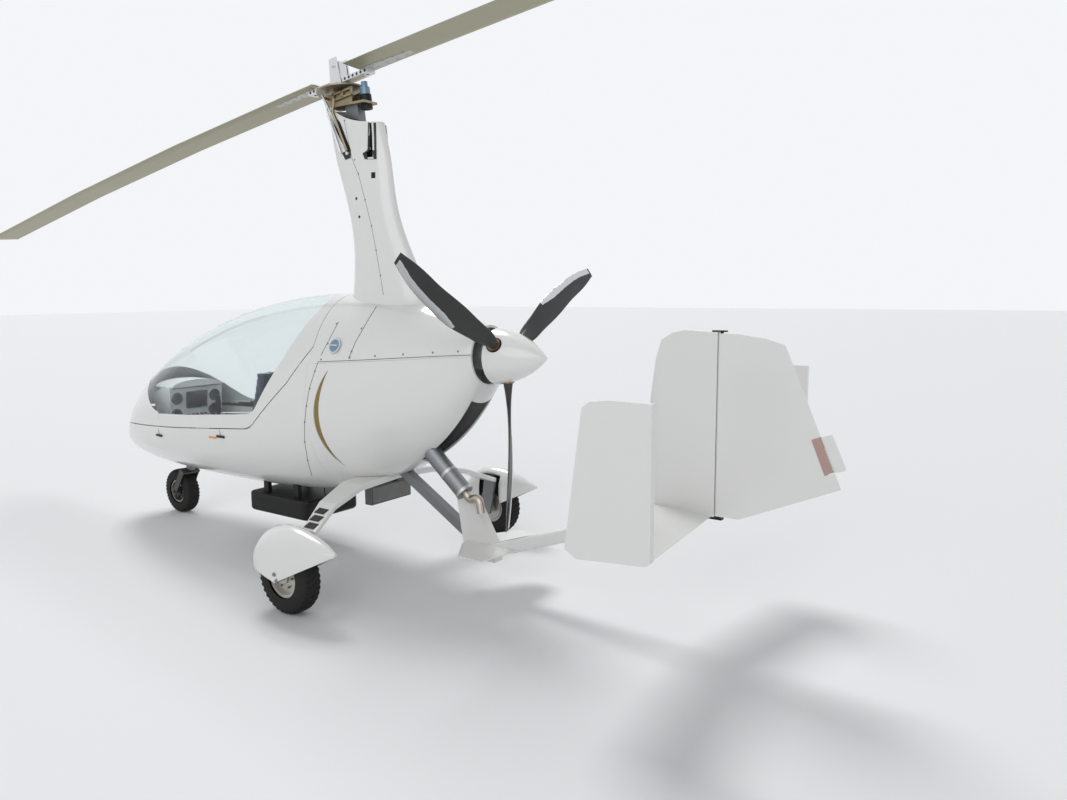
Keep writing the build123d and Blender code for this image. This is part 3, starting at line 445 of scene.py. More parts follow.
# heights of the brow's foot, its two ends and its crest, and the middle of its sweep
brow_foot = 0.725
brow_ends = 0.768
brow_crest = 1.005
brow_pivot_y = -1.31
brow_sweep = math.radians(82)
brow_reach = 1.2
brow_columns = 32
brow_levels = 14
brow_form = form_of("canopy_glass", "canopy_frame")
brow_rows = []
for level in range(brow_levels + 1):
    row = []
    for column in range(brow_columns + 1):
        turn = 1 - 2 * column / brow_columns
        crest = brow_ends + (brow_crest - brow_ends) * math.cos(turn * math.pi / 2) ** 2
        height = brow_foot + (crest - brow_foot) * level / brow_levels
        heading = Vector((math.sin(turn * brow_sweep), -math.cos(turn * brow_sweep), 0))
        start = Vector((0, brow_pivot_y, height)) + heading * brow_reach
        place, normal = brow_form.ray_cast(start, -heading)[:2]
        row.append((place, turned_to(heading, normal)))
    brow_rows.append(row)
skin_sheet("nose_brow", brow_rows, gelcoat, "canopy")

# Canopy latches
# Two black over-centre handles on the port sill, each below a fine scribed line that is drawn as a dark bead
# of painted shade, and an amber strip beside the rear one.
amber_px = (212.8, 437.4)
black_plastic = dusty_material("black_plastic", (0.006, 0.006, 0.007), 0.45, dust=0.03, grain=420,
                               relief=0.0004, sockets=(("Specular IOR Level", 0.25),))
finish(black_plastic, "latches", "grip_pads", "belly_pod", "pod_lid", "pod_hangers", "control_sticks",
       "rudder_hinges")
latch_places = ((-1.375, 0.618), (-0.690, 0.680))
line_start = 0.006
line_step = 0.0085
for index, (latch_y, latch_z) in enumerate(latch_places):
    heights = [latch_z + line_start + step * line_step for step in range(5)]
    line_places = [hull_form.ray_cast(Vector((1, latch_y, z)), Vector((-1, 0, 0)))[0] for z in heights]
    bead("latch_line_%d" % (index + 1), line_places, seam_radius, seam_shade_paint, "airframe")
amber = rough_material("amber_strip", (0.78, 0.36, 0.03), 0.4)


def block(name, lie, size, edge, material, body, segments=2, smooth_angle=crisp_angle):
    """A block with its edges broken."""
    bm = bmesh.new()
    bmesh.ops.create_cube(bm, size=1.0, matrix=lie @ Matrix.Diagonal((*size, 1)))
    bmesh.ops.bevel(bm, geom=bm.edges[:], offset=edge, segments=segments, profile=0.5, affect="EDGES",
                    material=-1)
    carried(mesh_object(name, bm, material, smooth_angle), body)


def tile(name, spot, size, material, body, lift=0.0004, level=Vector((0, 1, 0))):
    """A thin rectangular plate that lies on a surface, its long side level."""
    place, normal = spot
    along = (level - normal * level.dot(normal)).normalized()
    lie = axes_at(along, normal.cross(along), normal, place + normal * lift)
    block(name, lie, size, min(size) * 0.25, material, body)


tile("amber_strip", laid_on(hull_form, amber_px), (0.075, 0.014, 0.0016), amber, "airframe")

# Cooling intakes
# A crescent slot in each flank lets air to the engine, through a gold-coloured mesh of fine wire
# that is set behind the shell.
mesh_gold = rough_material("intake_gauze", (0.30, 0.22, 0.075), 0.45, 0.6)


def woven(material, scale, relief):
    """Raises a fine weave on a material."""
    tree = material.node_tree
    place = node_in(tree, "TexCoord")
    weave = node_in(tree, "TexVoronoi", (("Scale", scale),))
    bump = node_in(tree, "Bump", (("Distance", relief),))
    wire(tree, (
        (place, "Object", weave, "Vector"),
        (weave, "Distance", bump, "Height"),
        (bump, "Normal", tree.nodes["Principled BSDF"], "Normal"),
    ))


woven(mesh_gold, 260.0, 0.002)
finish(mesh_gold, "intake_mesh")

# Filler cap
# A round blue-grey cap in a paler ring on the port shoulder, with a bar across it to turn it by.
cap_place = Vector((0.300, 0.212, 1.222))
cap_facing = Vector((0.93, 0, 0.37)).normalized()
cap_height = 0.012
cap_blue = rough_material("blue_grey_enamel", (0.19, 0.30, 0.42), 0.35, 0.3)
finish(cap_blue, "filler_cap", "prerotator")
pale_ring = rough_material("cap_ring", (0.62, 0.66, 0.68), 0.3, 0.5)
cap_lie = facing(cap_place + cap_facing * cap_height, cap_facing)


def raised_verts(result):
    """The vertices that an extrusion has made."""
    return [item for item in result["geom"] if isinstance(item, bmesh.types.BMVert)]


ring_bm = bmesh.new()
bmesh.ops.create_circle(ring_bm, radius=0.033, segments=48)
ring_edges = bmesh.ops.extrude_edge_only(ring_bm, edges=ring_bm.edges[:])
bmesh.ops.scale(ring_bm, vec=(1.24, 1.24, 1), verts=raised_verts(ring_edges))
bmesh.ops.solidify(ring_bm, geom=ring_bm.faces[:], thickness=0.004)
bmesh.ops.transform(ring_bm, matrix=cap_lie, verts=ring_bm.verts)
carried(mesh_object("filler_ring", ring_bm, pale_ring), "airframe")
block("filler_grip", cap_lie @ Matrix.Translation((0, 0, 0.006)), (0.008, 0.048, 0.010), 0.002, pale_ring,
      "airframe", 3, 0.6)

# Cabin lining
# Floor and bulkhead are painted grey, and charcoal felt is glued inside the tub and the sills.
# The instrument panel is a pale laminate pod.
cabin_grey = dusty_material("cabin_grey", (0.16, 0.165, 0.17), 0.6, dust=0.2)
finish(cabin_grey, "cabin_floor", "bulkhead")
liner_grey = dusty_material("liner_charcoal", (0.045, 0.047, 0.05), 0.85, dust=0.1, grain=700,
                            relief=0.0006)
liner_gap = 0.004


def side_liner(name, carrier, body, y_range, z_range, side):
    """A charcoal felt panel that follows the inside of one wall of a shell."""
    wall = form_of(carrier)
    bm = bmesh.new()
    bmesh.ops.create_grid(bm, x_segments=26, y_segments=5, size=0.5)
    gone = []
    for vert in bm.verts:
        y = y_range[0] + (vert.co.x + 0.5) * (y_range[1] - y_range[0])
        z = z_range[0] + (vert.co.y + 0.5) * (z_range[1] - z_range[0])
        skin = wall.ray_cast(Vector((0, y, z)), Vector((side, 0, 0)))[0]
        if skin is None:
            gone.append(vert)
        else:
            vert.co = skin - Vector((side * liner_gap, 0, 0))
    bmesh.ops.delete(bm, geom=gone, context="VERTS")
    liner = mesh_object(name, bm, liner_grey)
    walled(liner, "felt", 0.003)
    carried(liner, body)


for side_name, side in zip(side_names, (1, -1)):
    side_liner("tub_liner_" + side_name, "fuselage_tub", "airframe", (-1.95, 0.03), (0.475, 0.655), side)
    side_liner("sill_liner_" + side_name, "canopy_frame", "canopy", (-1.90, -0.45), (0.715, 0.765), side)
panel_white = dusty_material("panel_white", (0.66, 0.67, 0.68), 0.4, dust=0.1)
finish(panel_white, "instrument_panel")

# Instruments
# Round dials with pale scales, a dark screen and a row of switches on the panel's rear face, a
# half-round hood over it, and three levers with ball knobs along the port wall.
rod_finish = rough_material("lever_steel", (0.45, 0.45, 0.45), 0.3, 0.9)
dial_black = rough_material("dial_face", (0.012, 0.012, 0.014), 0.25)
dial_rim = rough_material("dial_rim", (0.05, 0.05, 0.05), 0.3, 0.5)
dial_scale = rough_material("dial_marks", (0.75, 0.75, 0.72), 0.5)
panel_form = form_of("instrument_panel")
panel_view = Vector((0, -1, 0))


def on_panel(x, z):
    """A place on the panel's rear face, and the way the face looks there."""
    place, normal = panel_form.ray_cast(Vector((x, -1.2, z)), panel_view)[:2]
    return place, turned_to(-panel_view, normal)


dial_places = ((0.140, 0.815), (0.145, 0.710), (-0.135, 0.815), (-0.13, 0.720))
dial_height = 0.0145
mark_ring = 0.028
marks_on_dial = 12
dial_spots = [on_panel(x, z) for x, z in dial_places]
discs("dial_rims", dial_spots, 0.041, 0.012, dial_rim, "airframe", 40)
discs("dial_faces", dial_spots, 0.035, dial_height, dial_black, "airframe", 40)
mark_spots = []
for place, normal in dial_spots:
    for turn in range(marks_on_dial):
        angle = turn * 2 * math.pi / marks_on_dial
        outwards = Vector((math.cos(angle), 0, math.sin(angle)))
        mark_spots.append((place + outwards * mark_ring + normal * dial_height, normal))
discs("dial_marks", mark_spots, 0.0024, 0.0012, dial_scale, "airframe", 8)
screen_glass = rough_material("screen_glass", (0.01, 0.012, 0.016), 0.12)
tile("panel_screen", on_panel(0.0, 0.80), (0.15, 0.11, 0.016), screen_glass, "airframe",
     0.004, Vector((1, 0, 0)))
switch_spots = [on_panel(-0.06 + 0.03 * index, 0.70) for index in range(5)]
discs("panel_switches", switch_spots, 0.006, 0.022, dial_rim, "airframe", 12)

hood_size = (0.37, 0.8, 0.09)
hood_place = (0, -1.575, 0.889)
hood_bm = bmesh.new()
bmesh.ops.create_cone(hood_bm, cap_ends=True, segments=40, radius1=0.5, radius2=0.5, depth=0.24,
                      matrix=Matrix.Rotation(math.pi / 2, 4, "X"))
bmesh.ops.scale(hood_bm, vec=hood_size, verts=hood_bm.verts[:])
bmesh.ops.bisect_plane(hood_bm, geom=hood_bm.verts[:] + hood_bm.edges[:] + hood_bm.faces[:],
                       plane_co=(0, 0, 0), plane_no=(0, 0, 1), clear_inner=True)
bmesh.ops.translate(hood_bm, vec=hood_place, verts=hood_bm.verts[:])
hood = mesh_object("panel_hood", hood_bm, panel_white)
walled(hood, "hood_wall", 0.004, -1)
carried(hood, "airframe")
lever_root = 0.47
# one row for each lever: place across and along the cabin, and its length
lever_rows = ((0.235, -1.15, 0.15), (0.255, -1.02, 0.11), (0.235, -0.52, 0.14))
for index, (x, y, reach) in enumerate(lever_rows):
    top = lever_root + reach
    bead("side_lever_%d" % (index + 1), (Vector((x, y, lever_root)), Vector((x, y - 0.03, top)),
         Vector((x, y - 0.05, top + 0.03))), 0.007, rod_finish, "airframe")
    knob_bm = bmesh.new()
    bmesh.ops.create_uvsphere(knob_bm, u_segments=20, v_segments=12, radius=0.019,
                              matrix=Matrix.Translation((x, y - 0.055, top + 0.04)))
    carried(mesh_object("lever_knob_%d" % (index + 1), knob_bm, dial_rim), "airframe")

# Seats
# Two upholstered seats, one behind the other, in dark blue cloth.
# Each pad is foam in a sewn cover, which pressure inside it swells a little all round.
cloth_blue = rough_material("seat_cloth", (0.018, 0.030, 0.068), 0.9, sockets=(("Sheen Weight", 0.4),))
woven(cloth_blue, 420.0, 0.0008)
pad_shrink = 0.93
pad_voxel = 0.014
pad_frames = 12
pad_pressure = 4
pad_cap = 0.010


def seat_pads(seat_name):
    """The loose solids of one seat node, first its back and then its cushion, each as a sewn pad."""
    whole = bmesh.new()
    whole.from_mesh(nodes[seat_name].data)
    bmesh.ops.remove_doubles(whole, verts=whole.verts[:], dist=0.0001)
    pad_count = 0
    reached = set()
    for seed in reversed(whole.verts[:]):
        if seed in reached:
            continue
        reached.add(seed)
        island = [seed]
        for vert in island:
            for edge in vert.link_edges:
                other = edge.other_vert(vert)
                if other not in reached:
                    reached.add(other)
                    island.append(other)
        places = [vert.co.copy() for vert in island]
        hull_bm = bmesh.new()
        for place in places:
            hull_bm.verts.new(place)
        bmesh.ops.convex_hull(hull_bm, input=hull_bm.verts[:])
        middle = sum(places, Vector()) / len(places)
        bmesh.ops.scale(hull_bm, vec=(pad_shrink,) * 3, space=Matrix.Translation(-middle),
                        verts=hull_bm.verts[:])
        pad_count += 1
        pad = mesh_object("%s_pad_%d" % (seat_name, pad_count), hull_bm, cloth_blue)
        remesh = pad.modifiers.new("even_faces", "REMESH")
        remesh.mode = "VOXEL"
        remesh.voxel_size = pad_voxel
        before = [vert.co.copy() for vert in settled(pad).vertices]
        cloth = pad.modifiers.new("cover", "CLOTH")
        cloth.settings.use_pressure = True
        cloth.settings.uniform_pressure_force = pad_pressure
        cloth.settings.effector_weights.gravity = 0
        cloth.point_cache.frame_end = pad_frames
        for step in range(1, pad_frames + 1):
            scene.frame_set(step)
        blown = settled(pad)
        for vert, rest in zip(blown.vertices, before):
            shift = vert.co - rest
            if shift.length > pad_cap:
                vert.co = rest + shift.normalized() * pad_cap
        blown.materials.clear()
        blown.materials.append(cloth_blue)
        for polygon in blown.polygons:
            polygon.use_smooth = True
        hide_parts(seat_name)
        carried(pad, "airframe")
    whole.free()


seat_pads("front_seat")
seat_pads("rear_seat")
scene.frame_set(1)

# Shoulder straps
# Pale webbing down the front of each seat back, which shows behind the glazing.
webbing = rough_material("pale_webbing", (0.55, 0.56, 0.56), 0.8)
strap_drops = [step * 0.045 for step in range(9)]
strap_apart = 0.085
strap_radius = 0.011
for seat_name, top_y, top_z, lean in (
    ("front_seat", -0.612, 1.032, 0.34),
    ("rear_seat", -0.036, 1.122, 0.20),
):
    for side_name, x in zip(side_names, (strap_apart, -strap_apart)):
        strap_places = [Vector((x, top_y - drop * lean, top_z - drop)) for drop in strap_drops]
        bead("%s_strap_%s" % (seat_name, side_name), strap_places, strap_radius, webbing, "airframe",
             3)

# Engine bay
# Below and behind the cowl show the engine's cast block, its steel mount and the square tubes of
# the keel frame. The same grey paint covers the mast tube and the axles.
cast_alloy = dusty_material("cast_alloy", (0.42, 0.42, 0.42), 0.5, 0.8, dust=0.4, grain=260, relief=0.0004)
finish(cast_alloy, "engine_block")
frame_paint = dusty_material("frame_steel", (0.21, 0.22, 0.235), 0.38, 0.55, dust=0.25)
finish(frame_paint, "mast_tube", "engine_mount", "frame_struts", "frame_foot", "steering_housing",
       "main_axles", "canopy_hinges")

# Propeller
# Three scimitar blades of black-painted carbon with a bare metal guard on the outer leading edge.
# Their bronze root collars stand in the spinner's holes.
blade_black = dusty_material("propeller_black", (0.018, 0.018, 0.020), 0.35, dust=0.12, grain=500,
                             relief=0.0002)
finish(blade_black, "propeller_blades")
bronze = rough_material("bronze_collar", (0.36, 0.24, 0.13), 0.35, 0.9)
finish(bronze, "propeller_hub")
guard_metal = dusty_material("guard_metal", (0.62, 0.63, 0.64), 0.28, 0.95, dust=0.15)
blade_form = form_of("propeller_blades")
shaft_place = Vector((0, 1.082, 1.185))
clear_of_blade = 0.2
widest_chord = 0.075
chord_step = 0.0025
chord_trials = 60
guard_start = 0.40
guard_end = 0.850
guard_steps = 22
guard_width = 0.024
guard_lift = 0.0011
# Rays across each blade find its leading edge. The strip folds round that edge onto both faces.
for blade_index in range(3):
    blade_angle = math.radians(30 + 120 * blade_index)
    out = Vector((math.cos(blade_angle), 0, math.sin(blade_angle)))
    lead = Vector((0, 1, 0)).cross(out)
    guard_bm = bmesh.new()
    rows = []
    for step in range(guard_steps + 1):
        middle = shaft_place + out * (guard_start + (guard_end - guard_start) * step / guard_steps)
        taper = min(1.0, 0.35 + step / 6)
        for trial in range(chord_trials):
            edge_at = widest_chord - trial * chord_step
            place, normal, index, distance = blade_form.ray_cast(
                middle + lead * edge_at + Vector((0, clear_of_blade, 0)), Vector((0, -1, 0)))
            if place is not None and distance < 0.35:
                break
        else:
            continue
        corners = []
        for back in (0.0, guard_width * taper):
            for face_side in (1, -1):
                place = blade_form.ray_cast(
                    middle + lead * (edge_at - back - 0.001) + Vector((0, clear_of_blade * face_side, 0)),
                    Vector((0, -face_side, 0)))[0]
                if place is None:
                    place = middle + lead * (edge_at - back)
                corners.append(place + Vector((0, guard_lift * face_side, 0)))
        for corner in corners[:2]:
            corner += lead * 0.0015
        rows.append([guard_bm.verts.new(corners[index]) for index in (2, 0, 1, 3)])
    for first, second in zip(rows, rows[1:]):
        for one in range(3):
            guard_bm.faces.new((first[one], first[one + 1], second[one + 1], second[one]))
    guard_strip = mesh_object("blade_guard_%d" % (blade_index + 1), guard_bm, guard_metal, 1.2)
    walled(guard_strip, "guard_wall", 0.0008)
    carried(guard_strip, "propeller")

# Mast fairing seams
# Port and starboard halves of the fairing meet behind the front edge, on a line of small screws.
# Two round holes pierce the front edge, drawn as black discs of painted shade, and a small black patch lies
# near the rear edge.
mast_seam_px = ((344.0, 119.5), (352.0, 158.4), (358.9, 176.0), (365.0, 199.7), (371.5, 226.0),
                (376.0, 250.2), (380.5, 276.5), (383.5, 295.0))
mast_screws_px = ((344.6, 120.6), (354.6, 159.8), (358.4, 173.6), (365.0, 199.7), (371.5, 226.0),
                  (376.0, 250.2), (380.5, 275.5))
front_holes_px = ((356.4, 198.6), (359.4, 216.9))
rear_patch_px = (373.3, 175.2)
mast_form = form_of("mast_fairing", "upper_cowl")
# Black for holes, slots, wells and cut-outs: painted shade where the openings are.
hole_shade_paint = rough_material("painted_hole_shade", (0.012, 0.012, 0.012), 0.6)
# The seam is drawn as a thin dark bead of painted shade.
seam_on_both_sides("mast_seam", mast_form, mast_seam_px, 0.0011)
discs("mast_screws", laid_on_both_sides(mast_form, mast_screws_px), 0.0052, screw_height, screw_metal,
      "airframe")
discs("mast_front_holes", laid_on_both_sides(mast_form, front_holes_px), 0.0085, 0.0012, hole_shade_paint,
      "airframe", 24)
for side_name in side_names:
    tile("mast_patch_" + side_name, on_side([laid_on(mast_form, rear_patch_px)], side_name)[0],
         (0.024, 0.030, 0.0012), black_plastic, "airframe")

# Rotor head
# Machined plates and a slotted yoke in gold-chromated alloy carry the bearing; the ring gear above
# is turned by a blue starter motor at the back, over a black housing.
chromate = dusty_material("gold_chromate", (0.36, 0.30, 0.19), 0.42, 0.8, dust=0.3)
finish(chromate, "rotor_head")
ring_steel = dusty_material("ring_gear_steel", (0.30, 0.25, 0.18), 0.4, 0.85, dust=0.3)
finish(ring_steel, "gear_ring")
bright_alloy = dusty_material("bright_alloy", (0.72, 0.73, 0.74), 0.32, 0.75, dust=0.1)
finish(bright_alloy, "teeter_tower", "hub_bar")
rod_alloy = dusty_material("rod_alloy", (0.50, 0.50, 0.49), 0.35, 0.9, dust=0.15)
finish(rod_alloy, "push_rods")
rest_tilt = math.radians(7.4)
gimbal_place = Vector((0, 0, 2.486))
head_up = Vector((0, -math.sin(rest_tilt), math.cos(rest_tilt)))
head_aft = Vector((0, math.cos(rest_tilt), math.sin(rest_tilt)))
head_lie = axes_at((1, 0, 0), head_aft, head_up, gimbal_place)
yoke_reach = 0.056
yoke_edge = 0.002


def yoke_block(name, middle, size):
    """A machined block in the leaning frame of the rotor head, measured from its gimbal."""
    block(name, head_lie @ Matrix.Translation(middle), size, yoke_edge, chromate, "airframe")


for side_name, x in zip(side_names, (yoke_reach, -yoke_reach)):
    yoke_block("yoke_top_" + side_name, (x, 0.060, 0.052), (0.012, 0.150, 0.012))
    yoke_block("yoke_low_" + side_name, (x, 0.060, 0.022), (0.012, 0.150, 0.012))
    for index, y in enumerate((-0.010, 0.060, 0.130)):
        yoke_block("yoke_post_%d_%s" % (index + 1, side_name), (x, y, 0.037), (0.012, 0.014, 0.040))
starter_low, starter_high = (head_lie @ Vector((0, 0.172, z)) for z in (-0.06, 0.012))
starter_bm = bmesh.new()
bmesh.ops.create_cone(starter_bm, cap_ends=True, segments=20, radius1=0.030, radius2=0.030,
                      depth=(starter_high - starter_low).length,
                      matrix=facing((starter_low + starter_high) / 2, starter_high - starter_low))
carried(mesh_object("starter_housing", starter_bm, black_plastic, crisp_angle), "airframe")

# Control rods
# A cut-out in each shoulder of the fairing shows the two long rods that tilt the head, with a bright eye at
# the foot of the outer one. The cut-out, a slot beside it and a well round the eye are thin black sheets of
# painted shade.
cutout_px = ((333.0, 113.5), (337.5, 126.0), (342.0, 139.0), (346.5, 151.5), (348.2, 159.0))
cutout_reach_px = (3.2, 3.6, 4.0, 4.4, 2.6)
cutout_rows = []
for pixel, reach in zip(cutout_px, cutout_reach_px):
    shares = (-1.0, -0.4, 0.4, 1.0)
    cutout_rows.append([laid_on(mast_form, (pixel[0] + share * reach, pixel[1] - share * reach * 0.35))
                        for share in shares])
slot_px = ((122.8, 368.2, 376.0), (136.0, 368.0, 376.3), (149.5, 367.8, 376.5), (151.0, 366.6, 376.6),
           (153.4, 362.8, 376.6), (159.2, 365.0, 376.7))
slot_rows = []
for level, left, right in slot_px:
    slot_rows.append([laid_on(mast_form, (left + (right - left) * step / 12, level)) for step in range(13)])
slot_post_px = ((372.6, 123.0), (373.4, 136.0), (373.8, 150.5))
eye_px = (348.2, 153.4)
eye_spot = laid_on(mast_form, eye_px)
post_spots = [laid_on(mast_form, pixel) for pixel in slot_post_px]
for side_name in side_names:
    flip = flip_to(side_name)
    skin_sheet("rod_cutout_" + side_name, [on_side(row, side_name) for row in cutout_rows], hole_shade_paint,
               "airframe")
    skin_sheet("fairing_slot_" + side_name, [on_side(row, side_name) for row in slot_rows], hole_shade_paint,
               "airframe", 0.0026)
    post_line = [place + normal * 0.003 for place, normal in on_side(post_spots, side_name)]
    bead("fairing_post_" + side_name, post_line, 0.0065, rod_alloy, "airframe", 4)
    eye_place, eye_facing = on_side([eye_spot], side_name)[0]
    discs("rod_well_" + side_name, [(eye_place, eye_facing)], 0.021, 0.0026, hole_shade_paint, "airframe",
          28)
    discs("rod_eye_" + side_name, [(eye_place + eye_facing * 0.003, eye_facing)], 0.0095, 0.010, bright_alloy,
          "airframe", 24)
    for rod_name, column, start_shift, radius, material in (
        ("outer_rod_", 0, Vector((0.010, -0.020, 0.070)), 0.0055, bright_alloy),
        ("inner_rod_", 2, Vector((0.004, 0.004, 0.070)), 0.0075, ring_steel),
    ):
        rod_line = [(cutout_rows[0][column][0] + start_shift) * flip]
        for row in cutout_rows[:4]:
            rod_line.append((row[column][0] + row[column][1] * 0.010) * flip)
        bead(rod_name + side_name, rod_line, radius, material, "airframe", 4)

# Teeter tower bolts
# Through-bolts with washers hold the tower plates and the teeter block.
tower_bolt_spots = []
for side in (1, -1):
    for y, z in ((0.0, 0.204), (-0.014, 0.110), (0.014, 0.110)):
        tower_bolt_spots.append((head_lie @ Vector((side * 0.0425, y, z)), Vector((side, 0, 0))))
discs("tower_bolts", tower_bolt_spots, 0.0068, 0.006, rod_alloy, "rotor_hub", 6, 0.001)

# Hub bar
# The bar that joins the blades is drilled with large holes in a row and small ones between. The small holes
# are drawn as black discs of painted shade.
small_hole_spots = []
bar_side = 0.029
for end in (1, -1):
    for step in range(6):
        y = end * (0.064 + 0.030 * step)
        for side in (1, -1):
            small_hole_spots.append((head_lie @ Vector((side * bar_side, y, 0.122)), Vector((side, 0, 0))))
discs("hub_bar_holes", small_hole_spots, 0.0085, 0.0010, hole_shade_paint, "rotor", 20)

# Rotor blades
# Extruded aluminium, anodised to a dull grey-beige, with a doubler plate bolted over each root.
rotor_skin = dusty_material("rotor_skin", (0.375, 0.35, 0.245), 0.42, 0.3, dust=0.15)
finish(rotor_skin, "rotor_blades")
doubler_skin = dusty_material("doubler_alloy", (0.50, 0.49, 0.45), 0.38, 0.6, dust=0.15)
rotor_form = form_of("rotor_blades")
# bolts stand in pairs, two across and five along each root
root_bolt_rows = (0.20, 0.27, 0.34, 0.41, 0.48)
root_bolt_apart = 0.018
doubler_middle = 0.36
doubler_size = (0.074, 0.34, 0.004)
under_blade = -0.25
blade_bolts = []
for end in (1, -1):
    for reach in root_bolt_rows:
        for offset in (-root_bolt_apart, root_bolt_apart):
            below = head_lie @ Vector((-end * offset, end * reach, under_blade))
            place = rotor_form.ray_cast(below, head_up)[0]
            if place is not None:
                blade_bolts.append((place, -head_up))
discs("blade_root_bolts", blade_bolts, 0.008, 0.006, rod_alloy, "rotor", 6, 0.001)
for end, end_name in ((1, "aft"), (-1, "fore")):
    doubler_bm = bmesh.new()
    bmesh.ops.create_cube(doubler_bm, size=1.0)
    bmesh.ops.scale(doubler_bm, vec=doubler_size, verts=doubler_bm.verts[:])
    far_edge = [vert for vert in doubler_bm.verts if vert.co.y > 0]
    bmesh.ops.scale(doubler_bm, vec=(0.5, 1, 1), verts=far_edge)
    below = head_lie @ Vector((0, end * doubler_middle, under_blade))
    place, normal = rotor_form.ray_cast(below, head_up)[:2]
    normal = turned_to(-head_up, normal)
    along = (head_aft * end - normal * (head_aft * end).dot(normal)).normalized()
    bmesh.ops.transform(doubler_bm, matrix=axes_at(along.cross(normal), along, normal, place),
                        verts=doubler_bm.verts[:])
    carried(mesh_object("root_doubler_" + end_name, doubler_bm, doubler_skin, crisp_angle),
            "rotor")

# Exhaust
# A grey steel silencer drum held by two clamp bands, and a bent tail pipe of bare tube.
exhaust_steel = dusty_material("silencer_steel", (0.24, 0.25, 0.265), 0.36, 0.85, dust=0.2)
finish(exhaust_steel, "muffler")
pipe_steel = dusty_material("tail_pipe_steel", (0.50, 0.44, 0.37), 0.3, 0.9, dust=0.2)
finish(pipe_steel, "exhaust_pipe")
drum_top = Vector((0.068, 0.640, 0.681))
drum_low = Vector((0.068, 0.858, 0.495))
drum_run = drum_low - drum_top
band_radius = 0.0462
for index, share in enumerate((0.52, 0.97)):
    band_bm = bmesh.new()
    bmesh.ops.create_cone(band_bm, cap_ends=False, segments=48, radius1=band_radius, radius2=band_radius,
                          depth=0.016, matrix=facing(drum_top + drum_run * share, drum_run))
    clamp_band = mesh_object("silencer_band_%d" % (index + 1), band_bm, rod_alloy)
    walled(clamp_band, "band_wall", 0.0014)
    carried(clamp_band, "airframe")

# Cooler
# A finned matrix in a dark grey case, with a pale flange at each end.
cooler_paint = dusty_material("cooler_grey", (0.075, 0.078, 0.082), 0.45, 0.4, dust=0.3)
finish(cooler_paint, "cooler")
cooler_low, cooler_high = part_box("cooler")
cooler_end = 0.014
fin_count = 34
fin_step = (cooler_high.x - cooler_low.x - 2 * cooler_end) / (fin_count - 1)
fin_bm = bmesh.new()
for index in range(fin_count):
    place = (cooler_low.x + cooler_end + index * fin_step, 0.2505, 0.412)
    bmesh.ops.create_cube(fin_bm, size=1.0, matrix=Matrix.Translation(place) @ Matrix.Diagonal(
        (0.0016, 0.0535, 0.084, 1)))
carried(mesh_object("cooler_fins", fin_bm, rod_alloy), "airframe")

# Wheels
# Black block-tread tyres on pressed alloy rims; the mains carry a brake disc on their inner side.
tyre_black = dusty_material("tyre_rubber", (0.009, 0.009, 0.010), 0.75, dust=0.05, grain=600,
                            relief=0.0003, sockets=(("Specular IOR Level", 0.25),))
rim_alloy = dusty_material("rim_alloy", (0.55, 0.54, 0.50), 0.4, 0.6, dust=0.3)
finish(rim_alloy, "main_rim_left", "main_rim_right")
rim_black = dusty_material("nose_rim_black", (0.016, 0.016, 0.016), 0.45, dust=0.15)
finish(rim_black, "nose_rim")
tread_depth = 0.004
tyre_turns = 72


def tread_tyre(name, axle, outer, inner, width):
    """A tyre turned about its axle, with sunk grooves between the tread blocks."""
    bm = bmesh.new()
    half = width / 2
    crown = outer - tread_depth
    profile = []
    for share in range(13):
        angle = math.pi * share / 12
        bulge = abs(math.cos(angle)) ** 0.45 * (1 if math.cos(angle) > 0 else -1)
        rise = math.sin(angle) ** 0.55
        profile.append(Vector((half * 0.98 * bulge, 0, inner + (crown - inner) * rise)))
    previous = None
    for place in profile:
        vert = bm.verts.new(place)
        if previous is not None:
            bm.edges.new((previous, vert))
        previous = vert
    bmesh.ops.spin(bm, geom=bm.verts[:] + bm.edges[:], cent=(0, 0, 0), axis=(1, 0, 0), angle=2 * math.pi,
                   steps=tyre_turns, use_merge=True)
    bmesh.ops.remove_doubles(bm, verts=bm.verts[:], dist=0.00005)
    bmesh.ops.recalc_face_normals(bm, faces=bm.faces[:])
    blocks = []
    for face in bm.faces:
        middle = face.calc_center_median()
        around = math.atan2(middle.y, middle.z)
        row = int((around + math.pi) / (2 * math.pi) * tyre_turns)
        if math.hypot(middle.y, middle.z) > inner + (crown - inner) * 0.80 and row % 2 == (middle.x > 0):
            blocks.append(face)
    bmesh.ops.inset_individual(bm, faces=blocks, thickness=0.0012, depth=tread_depth * 0.9)
    bmesh.ops.translate(bm, vec=axle, verts=bm.verts[:])
    return mesh_object(name, bm, tyre_black, 0.7)


wheel_axles = {
    "left_wheel": Vector((0.783, 0.375, 0.180)),
    "right_wheel": Vector((-0.783, 0.375, 0.180)),
    "nose_wheel": Vector((0.0, -1.735, 0.150)),
}
for name, outer, inner, width, body, stands_for in (
    ("left_tyre_tread", 0.180, 0.098, 0.100, "left_wheel", "main_tyre_left"),
    ("right_tyre_tread", 0.180, 0.098, 0.100, "right_wheel", "main_tyre_right"),
    ("nose_tyre_tread", 0.150, 0.080, 0.092, "nose_wheel", "nose_tyre"),
):
    tyre = tread_tyre(name, wheel_axles[body], outer, inner, width)
    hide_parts(stands_for)
    carried(tyre, body)
disc_steel = dusty_material("brake_steel", (0.42, 0.41, 0.39), 0.3, 0.9, dust=0.2)


